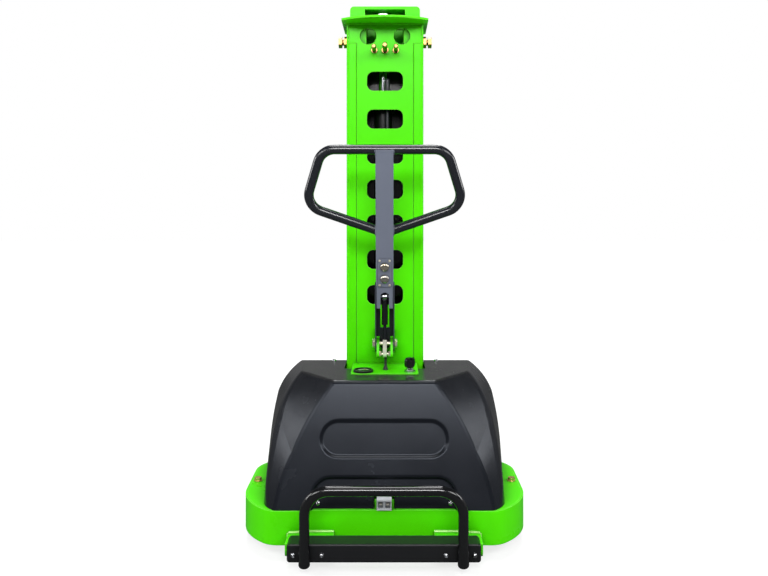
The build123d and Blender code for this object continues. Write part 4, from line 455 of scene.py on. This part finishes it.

# In each painted finish the second colour is a painted highlight along the edges
FINISHES = {
    "green_paint": painted(
        "lime_powder_coat", LIME, LIME_EDGE_HIGHLIGHT,
        roughness=0.30, shine=0.10, tint=LIME_SHEEN, dust=0.02, edge=0.003,
    ),
    "cover_plastic": moulded(
        "satin_cover_plastic", COVER_BLACK, 0.25,
        grain_scale=1100.0, grain=0.1, specular=0.2, sheen=COOL_SHEEN,
    ),
    "black_paint": painted(
        "gloss_black_paint", GLOSS_BLACK, colour(96, 98, 104), roughness=0.14, shine=0.6, dust=0.0, peel=0.008
    ),
    "tiller_paint": painted(
        "slate_tiller_paint", SLATE, colour(126, 132, 144), roughness=0.34, shine=0.3, coat=0.05, dust=0.03
    ),
    "yellow_zinc": plated("yellow_zinc_plate", BRONZE_ZINC, 0.26, EVEN, colour(104, 82, 48)),
    "bright_steel": plated("bright_steel", STEEL, 0.24, EVEN, colour(158, 160, 164)),
    "zinc_plate": plated("clear_zinc_plate", ZINC, 0.34, EVEN, colour(140, 146, 158)),
    "rod_chrome": plated("hard_chrome", CHROME, 0.10, UPRIGHT, colour(200, 202, 206)),
    "cylinder_steel": painted(
        "cylinder_black", GLOSS_BLACK, colour(52, 53, 56), roughness=0.36, shine=0.25
    ),
    "wheel_plastic": moulded("cast_nylon", NYLON, 0.38, grain_scale=700.0, grain=0.05, pits=0.2),
    "hose_rubber": moulded("black_rubber", RUBBER, 0.5, grain_scale=1400.0, grain=0.12, specular=0.25),
    "pack_plastic": moulded("pack_plastic", PACK_GREY, 0.5, grain_scale=900.0, grain=0.1),
    "valve_aluminium": plated("machined_aluminium", ALUMINIUM, 0.32, ACROSS, colour(170, 172, 176)),
    "motor_iron": painted("motor_enamel", IRON, colour(90, 92, 96), roughness=0.42, shine=0.3),
    "connector_grey": moulded("connector_grey", PLUG_GREY, 0.45, grain_scale=1200.0, grain=0.08),
    "gauge_black": moulded("gauge_black", GLOSS_BLACK, 0.3, grain_scale=1500.0, grain=0.05, specular=0.3),
    "gauge_glass": clear_lens("gauge_glass"),
    "contact_silver": plated("contact_silver", NICKEL, 0.3, EVEN, ALUMINIUM, metallic=0.5),
    # Painted highlight: the beads are paler than the paint, with near-white edges
    "weld_paint": painted(
        "weld_paint_painted_highlight", WELD_HIGHLIGHT_LIME, LIME_SHEEN, roughness=0.18, shine=0.9, tint=LIME_SHEEN, dust=0.0
    ),
}

# Pieces whose finish differs from the rest of their slot
# In these painted finishes too, the second colour is a painted highlight along the edges
OWN_FINISHES = {
    # Painted highlight: the beam's edges are mixed towards a lighter slate
    "bumper_beam": painted(
        "satin_beam_paint", BEAM_BLACK, SLATE, roughness=0.36, shine=0.3, dust=0.0, edge=0.003
    ),
    "handle_loop": painted(
        "satin_grip_paint", LOOP_BLACK, colour(70, 74, 84), roughness=0.22, shine=0.7, dust=0.0
    ),
    "cylinder_pipes": painted(
        "dark_pipe_paint", PIPE_GREY, colour(84, 86, 92), roughness=0.34, shine=0.4, dust=0.0
    ),
    "strut_tube": strut_finish("strut_tube_paint", STRUT_EYE_Z, GLOSS_BLACK, CHROME, 0.0, 1.0),
    "caster_bolts": plated("bright_bolt_zinc", GOLD_ZINC, 0.32, EVEN, colour(160, 128, 80), metallic=0.75),
    "plate_rivets": plated("bright_rivet_nickel", NICKEL, 0.34, EVEN, GOLD_ZINC, metallic=0.7),
    "raise_button": plated("raise_button_nickel", NICKEL, 0.22, EVEN, GOLD_ZINC),
    "lower_button": plated("lower_button_nickel", NICKEL, 0.22, EVEN, ZINC),
    "pivot_pins": plated("bright_pin_zinc", NICKEL, 0.30, EVEN, GOLD_ZINC, metallic=0.8),
    "strut_rod": strut_finish("strut_rod_plate", ROD_BLOCK_Z, NICKEL, PIPE_GREY, 0.3, 0.6),
    # Darker slate than the bar: partly the yoke's own dark web, partly painted shade between its side plates;
    # its edges get a painted highlight
    "tiller_yoke": painted(
        "tiller_paint_painted_shade", YOKE_SLATE, colour(96, 101, 112), roughness=0.36, shine=0.3, dust=0.0
    ),
}
for subpart in frame["record"]["subparts"]:
    node = subpart["node"]
    NODES[node].data.materials.clear()
    NODES[node].data.materials.append(OWN_FINISHES.get(node) or FINISHES[subpart["material_slot"]])


# Pieces too fine for the solids: weld beads, the gauge's dial and lens, and the connector's contacts


def piece(name, points, faces, finish, body, smooth=True):
    """A mesh with its finish that rides on a body."""
    mesh = bpy.data.meshes.new(name)
    mesh.from_pydata([tuple(point) for point in points], [], faces)
    mesh.validate()
    for face in mesh.polygons:
        face.use_smooth = smooth
    mesh.materials.append(finish)
    made = bpy.data.objects.new(name, mesh)
    bpy.context.scene.collection.objects.link(made)
    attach(made, body)
    return made


def bead_mesh(path, radius, points, faces):
    """Adds a rippled bead along a path to lists of points and faces."""
    first = len(points)
    for number, centre in enumerate(path):
        before = path[max(number - 1, 0)]
        after = path[min(number + 1, len(path) - 1)]
        along = (after - before).normalized()
        side = along.orthogonal().normalized()
        other = along.cross(side)
        swell = BEAD_SWELL * abs(math.sin(number * math.pi / BEAD_RIPPLE))
        ripple = BEAD_LEAST + swell + BEAD_WANDER * math.sin(number * BEAD_WANDER_RATE)
        size = radius * ripple * (BEAD_END if number in (0, len(path) - 1) else 1.0)
        for step in range(BEAD_SIDES):
            turn = 2 * math.pi * step / BEAD_SIDES
            points.append(centre + (side * math.cos(turn) + other * math.sin(turn)) * size)
    for number in range(len(path) - 1):
        low = first + number * BEAD_SIDES
        for step in range(BEAD_SIDES):
            next_step = (step + 1) % BEAD_SIDES
            faces.append((low + step, low + next_step, low + BEAD_SIDES + next_step, low + BEAD_SIDES + step))
    faces.append(tuple(reversed(range(first, first + BEAD_SIDES))))
    faces.append(tuple(range(first + (len(path) - 1) * BEAD_SIDES, first + len(path) * BEAD_SIDES)))


def weld(name, paths, radius, finish, body):
    """One piece made of the beads along several paths."""
    points = []
    faces = []
    for path in paths:
        bead_mesh(path, radius, points, faces)
    piece(name, points, faces, finish, body)


def straight(start, end):
    """Points a bead step apart from one point to another."""
    start = Vector(start)
    end = Vector(end)
    count = max(2, round((end - start).length / BEAD_STEP))
    return [start.lerp(end, number / count) for number in range(count + 1)]


def skirt_front(x, z):
    """The point of the skirt's outer face straight ahead of the operator."""
    hit, place, normal, face = NODES["skirt_band"].ray_cast((x, SKIRT_Y - RAY_START, z), (0, 1, 0))
    return Vector((x, place.y if hit else SKIRT_Y, z))


def bracket_welds():
    """Beads along the top and the outer end of both bumper brackets, on the skirt."""
    low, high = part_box("bumper_brackets")
    paths = []
    for side in (-1, 1):
        top = straight((side * BRACKET_INNER_X, 0, high.z), (side * high.x, 0, high.z))
        end = straight((side * high.x, 0, high.z), (side * high.x, 0, low.z + BRACKET_BEAD_END))
        for path in (top, end):
            paths.append([skirt_front(point.x, point.z) for point in path])
    weld("bracket_welds", paths, BRACKET_BEAD, FINISHES["weld_paint"], "chassis")


def tiller_point(x, y, z):
    """A point of the upright tiller, leaned about its pivot."""
    ahead = y * math.cos(TILLER_LEAN) - z * math.sin(TILLER_LEAN)
    up = y * math.sin(TILLER_LEAN) + z * math.cos(TILLER_LEAN)
    return PIVOT + Vector((x, ahead, up))


def loop_welds():
    """Beads round the grip tube where its four ends meet the sides of the bar."""
    paths = []
    ends = ((LOOP_TOP, 1.0, LOOP_TOP_ARC), (LOOP_ARM, LOOP_ARM_STRETCH, LOOP_ARM_ARC))
    for side in (-1, 1):
        x = side * (BAR_HALF + LOOP_BEAD_OUT)
        for height, stretch, arc in ends:
            ring = []
            for degrees in range(arc[0], arc[1] + 1, LOOP_BEAD_DEGREES):
                turn = math.radians(degrees)
                y = LOOP_RADIUS * math.cos(turn)
                z = height + LOOP_RADIUS * stretch * math.sin(turn)
                ring.append(tiller_point(x, y, z))
            paths.append(ring)
    weld("loop_welds", paths, LOOP_BEAD, FINISHES["tiller_paint"], "tiller")


def mast_welds():
    """Beads under the top plate, along the front and the sides of the mast."""
    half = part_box("mast_channel_right")[1].x
    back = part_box("mast_channel_right")[1].y
    paths = [straight((-half, MAST_Y, MAST_TOP), (half, MAST_Y, MAST_TOP))]
    for side in (-1, 1):
        paths.append(straight((side * half, MAST_Y, MAST_TOP), (side * half, back, MAST_TOP)))
    weld("mast_welds", paths, MAST_BEAD, FINISHES["green_paint"], "chassis")


def turned(centre, profile, points, faces, segments=48):
    """Adds a closed turned form, from its lowest middle point to its highest, to points and faces."""
    first = len(points)
    points.append(centre + Vector((0, 0, profile[0][1])))
    for radius, height in profile[1:-1]:
        for step in range(segments):
            turn = 2 * math.pi * step / segments
            points.append(centre + Vector((radius * math.cos(turn), radius * math.sin(turn), height)))
    points.append(centre + Vector((0, 0, profile[-1][1])))
    rings = len(profile) - 2
    last = first + 1 + rings * segments
    for step in range(segments):
        next_step = (step + 1) % segments
        faces.append((first, first + 1 + next_step, first + 1 + step))
        for ring in range(rings - 1):
            low = first + 1 + ring * segments
            faces.append((low + step, low + next_step, low + segments + next_step, low + segments + step))
        top = first + 1 + (rings - 1) * segments
        faces.append((last, top + step, top + next_step))


def turned_piece(name, centre, profile, finish):
    """One turned form that stays with the chassis."""
    points = []
    faces = []
    turned(centre, profile, points, faces)
    return piece(name, points, faces, finish, "chassis")


def flat_bar(start, end, half_start, half_end, low, high, points, faces):
    """Adds a thin bar on the dial from one point to another, with its own width at each end."""
    first = len(points)
    along = (end - start).normalized()
    across = Vector((-along.y, along.x, 0))
    for height in (low, high):
        rise = Vector((0, 0, height))
        points.extend([start - across * half_start + rise, end - across * half_end + rise,
                       end + across * half_end + rise, start + across * half_start + rise])
    faces.append(tuple(first + n for n in (3, 2, 1, 0)))
    faces.append(tuple(first + n for n in (4, 5, 6, 7)))
    for n in range(4):
        following = (n + 1) % 4
        faces.append((first + n, first + following, first + 4 + following, first + 4 + n))


def dial_finish(name, tone, roughness=0.5):
    """Printed or painted plastic of the gauge, with the faintest grain."""
    return moulded(name, tone, roughness, grain_scale=1600.0, grain=0.03)


def dial_ray(degrees):
    """The direction of an angle on the dial."""
    turn = math.radians(degrees)
    return Vector((math.cos(turn), math.sin(turn), 0))


def gauge():
    """The charge gauge: a pale dial with ticks and a needle under a thin domed lens."""
    low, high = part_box("gauge_lens")
    centre = Vector(((low.x + high.x) / 2, (low.y + high.y) / 2, low.z))
    radius = (high.x - low.x) / 2
    face = radius - DIAL_GAP
    disc = [(0, DIAL_LOW), (face, DIAL_LOW), (face, DIAL_TOP), (0, DIAL_TOP)]
    turned_piece("gauge_face", centre, disc, dial_finish("dial_face", DIAL_GREY))
    points = []
    faces = []
    for number in range(DIAL_TICKS):
        ray = dial_ray(DIAL_START - DIAL_ARC * number / (DIAL_TICKS - 1))
        major = number % MAJOR_EVERY == 0
        inner = centre + ray * face * (MAJOR_INNER if major else MINOR_INNER)
        half = MAJOR_HALF if major else MINOR_HALF
        flat_bar(inner, centre + ray * face * TICK_OUTER, half, half, DIAL_TOP, TICK_TOP, points, faces)
    ink = dial_finish("dial_ink", DIAL_INK)
    piece("gauge_ticks", points, faces, ink, "chassis", smooth=False)
    points = []
    faces = []
    ray = dial_ray(NEEDLE_DEGREES)
    tail = centre - ray * face * NEEDLE_TAIL
    tip = centre + ray * face * NEEDLE_TIP
    flat_bar(tail, tip, *NEEDLE_HALVES, *NEEDLE_HEIGHTS, points, faces)
    turned(centre, HUB_PROFILE, points, faces, HUB_SEGMENTS)
    red = dial_finish("needle_red", NEEDLE_RED, 0.4)
    piece("gauge_needle", points, faces, red, "chassis", smooth=False)
    top = high.z - low.z
    lens = [(radius * share, top - drop) for share, drop in LENS_PROFILE]
    dome = turned_piece("domed_lens", centre, lens, FINISHES["gauge_glass"])
    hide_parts("gauge_lens")


def connector_contacts():
    """A sprung silver blade in each mouth of the charging connector."""
    low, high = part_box("charging_connector")
    middle = (low.z + high.z) / 2
    points = []
    faces = []
    for x in (-MOUTH_X, MOUTH_X):
        first = len(points)
        for depth, rise in BLADE_CURVE:
            for thickness in (-BLADE_HALF_THICKNESS, BLADE_HALF_THICKNESS):
                for side in (-BLADE_HALF_WIDTH, BLADE_HALF_WIDTH):
                    points.append(Vector((x + side, low.y + depth, middle + rise + thickness)))
        for number in range(len(BLADE_CURVE) - 1):
            a = first + number * 4
            b = a + 4
            faces.extend([(a, b, b + 1, a + 1), (a + 2, a + 3, b + 3, b + 2)])
            faces.extend([(a, a + 2, b + 2, b), (a + 1, b + 1, b + 3, a + 3)])
        last = first + (len(BLADE_CURVE) - 1) * 4
        faces.extend([(first, first + 1, first + 3, first + 2), (last, last + 2, last + 3, last + 1)])
    silver = FINISHES["contact_silver"]
    piece("connector_contacts", points, faces, silver, "chassis", smooth=False)


bracket_welds()
loop_welds()
mast_welds()
gauge()
connector_contacts()


# Stage, light and camera


def seen_mask(tree):
    """1 for rays from the camera and through glass, a share of it for mirrored rays, 0 for the rest."""
    ray = put(tree, "ShaderNodeLightPath")
    mirrored = put(tree, "ShaderNodeMath", {1: MIRRORED_SHARE}, operation="MULTIPLY")
    seen = put(tree, "ShaderNodeMath", operation="MAXIMUM")
    seen_through = put(tree, "ShaderNodeMath", operation="MAXIMUM")
    tree.links.new(ray.outputs["Is Glossy Ray"], mirrored.inputs[0])
    tree.links.new(ray.outputs["Is Camera Ray"], seen.inputs[0])
    tree.links.new(mirrored.outputs[0], seen.inputs[1])
    tree.links.new(seen.outputs[0], seen_through.inputs[0])
    tree.links.new(ray.outputs["Is Transmission Ray"], seen_through.inputs[1])
    return seen_through.outputs[0]


def make_floor():
    """A pale floor that keeps a light shadow near the stacker and is white away from it."""
    mesh = bpy.data.meshes.new("floor")
    corners = [(x * FLOOR_REACH, y * FLOOR_REACH, FLOOR_Z) for x, y in ((-1, -1), (1, -1), (1, 1), (-1, 1))]
    mesh.from_pydata(corners, [], [(0, 1, 2, 3)])
    floor = bpy.data.objects.new("floor", mesh)
    bpy.context.scene.collection.objects.link(floor)
    finish = bpy.data.materials.new("pale_floor")
    finish.use_nodes = True
    tree = finish.node_tree
    tree.nodes.clear()
    link = tree.links.new
    place = put(tree, "ShaderNodeTexCoord")
    distance = put(tree, "ShaderNodeVectorMath", operation="LENGTH")
    glow = put(tree, "ShaderNodeMapRange", FLOOR_GLOW, interpolation_type="SMOOTHSTEP")
    share = put(tree, "ShaderNodeMath", operation="MULTIPLY")
    ray = put(tree, "ShaderNodeLightPath")
    tone = put(tree, "ShaderNodeMix", {6: FLOOR_GREY, 7: MIRRORED_FLOOR_GREY}, data_type="RGBA")
    matt = put(tree, "ShaderNodeBsdfDiffuse")
    white = put(tree, "ShaderNodeEmission", {"Color": WHITE})
    both = put(tree, "ShaderNodeAddShader")
    surface = put(tree, "ShaderNodeOutputMaterial")
    link(place.outputs["Object"], distance.inputs[0])
    link(distance.outputs["Value"], glow.inputs["Value"])
    link(glow.outputs[0], share.inputs[0])
    link(seen_mask(tree), share.inputs[1])
    link(share.outputs[0], white.inputs["Strength"])
    link(ray.outputs["Is Glossy Ray"], tone.inputs[0])
    link(tone.outputs[2], matt.inputs["Color"])
    link(matt.outputs[0], both.inputs[0])
    link(white.outputs[0], both.inputs[1])
    link(both.outputs[0], surface.inputs["Surface"])
    mesh.materials.append(finish)


def make_world():
    """A white backdrop, mirrored as one that darkens overhead and towards the front, and ambient light."""
    world = bpy.data.worlds.new("studio")
    world.use_nodes = True
    tree = world.node_tree
    link = tree.links.new
    ray = put(tree, "ShaderNodeLightPath")
    direction = put(tree, "ShaderNodeTexCoord")
    axes = put(tree, "ShaderNodeSeparateXYZ")
    by_height = put(tree, "ShaderNodeMapRange", BACKDROP_BY_HEIGHT, interpolation_type="SMOOTHSTEP")
    by_depth = put(tree, "ShaderNodeMapRange", BACKDROP_BY_DEPTH, interpolation_type="SMOOTHSTEP")
    mirrored = put(tree, "ShaderNodeMath", operation="MULTIPLY")
    unseen = put(tree, "ShaderNodeMix", {2: AMBIENT}, data_type="FLOAT")
    direct = put(tree, "ShaderNodeMath", operation="MAXIMUM")
    level = put(tree, "ShaderNodeMix", {3: 1.0}, data_type="FLOAT")
    link(direction.outputs["Generated"], axes.inputs[0])
    link(axes.outputs["Z"], by_height.inputs["Value"])
    link(axes.outputs["Y"], by_depth.inputs["Value"])
    link(by_height.outputs[0], mirrored.inputs[0])
    link(by_depth.outputs[0], mirrored.inputs[1])
    link(ray.outputs["Is Glossy Ray"], unseen.inputs[0])
    link(mirrored.outputs[0], unseen.inputs[3])
    link(ray.outputs["Is Camera Ray"], direct.inputs[0])
    link(ray.outputs["Is Transmission Ray"], direct.inputs[1])
    link(direct.outputs[0], level.inputs[0])
    link(unseen.outputs[0], level.inputs[2])
    tree.nodes["Background"].inputs["Color"].default_value = WHITE
    link(level.outputs[0], tree.nodes["Background"].inputs["Strength"])
    bpy.context.scene.world = world


def softbox(name, place, target, size, power):
    """A rectangular studio light that faces a point."""
    lamp = bpy.data.lights.new(name, "AREA")
    lamp.shape = "RECTANGLE"
    lamp.size, lamp.size_y = size
    lamp.energy = power
    holder = bpy.data.objects.new(name, lamp)
    holder.location = place
    holder.rotation_euler = (Vector(target) - Vector(place)).to_track_quat("-Z", "Y").to_euler()
    bpy.context.scene.collection.objects.link(holder)


# Strength of the white floor by distance from the middle, and of the mirrored backdrop by direction
FLOOR_REACH = 14.0
FLOOR_Z = -0.0004
FLOOR_GLOW = {"From Min": 0.7, "From Max": 2.2, "To Min": 0.76, "To Max": 1.0}
BACKDROP_BY_HEIGHT = {"From Min": 0.24, "From Max": 0.36, "To Min": 1.0, "To Max": 0.12}
BACKDROP_BY_DEPTH = {"From Min": -0.4, "From Max": 0.3, "To Min": 0.15, "To Max": 0.3}
AMBIENT = 0.10
FLOOR_GREY = (0.32, 0.32, 0.32, 1)
MIRRORED_FLOOR_GREY = (0.06, 0.06, 0.06, 1)
MIRRORED_SHARE = 0.07
make_floor()
make_world()
softbox("front_softbox", place=(0.0, -3.8, 2.22), target=(0, -0.6, 0.7), size=(2.0, 0.75), power=86)
for side, name in ((-1, "left"), (1, "right")):
    front_place = (side * 2.2, -2.4, 2.2)
    side_place = (side * 2.5, -0.45, 1.4)
    softbox("front_%s_softbox" % name, front_place, target=(0, -0.6, 0.6), size=(1.6, 0.7), power=28)
    softbox("%s_softbox" % name, side_place, target=(0, -0.6, 0.4), size=(0.9, 0.9), power=18)
softbox("ceiling_softbox", place=(0.0, -0.4, 3.5), target=(0, -0.2, 0), size=(1.6, 1.6), power=54)
softbox("rear_softbox", place=(0.0, 2.6, 3.8), target=(0, 0, 0.5), size=(2.2, 1.2), power=80)

# The photograph is 768 pixels wide; its horizon and centre line lie off the frame's middle
PHOTO_WIDTH = 768
FOCAL_PIXELS = 800.0
HORIZON_ABOVE_MIDDLE = 88.0
CENTRE_LINE_OFFSET = 6.4
SENSOR_WIDTH = 36.0
CAMERA_X = 0.015
CAMERA_AHEAD = 1.923
CAMERA_HEIGHT = 0.865
camera_data = bpy.data.cameras.new("camera")
camera_data.sensor_width = SENSOR_WIDTH
camera_data.lens = SENSOR_WIDTH * FOCAL_PIXELS / PHOTO_WIDTH
camera_data.shift_x = -CENTRE_LINE_OFFSET / PHOTO_WIDTH
camera_data.shift_y = -HORIZON_ABOVE_MIDDLE / PHOTO_WIDTH
camera = bpy.data.objects.new("camera", camera_data)
camera.location = (CAMERA_X, SKIRT_Y - CAMERA_AHEAD, CAMERA_HEIGHT)
camera.rotation_euler = (math.radians(90), 0, 0)
bpy.context.scene.collection.objects.link(camera)
bpy.context.scene.camera = camera
bpy.context.scene.view_settings.view_transform = "Standard"
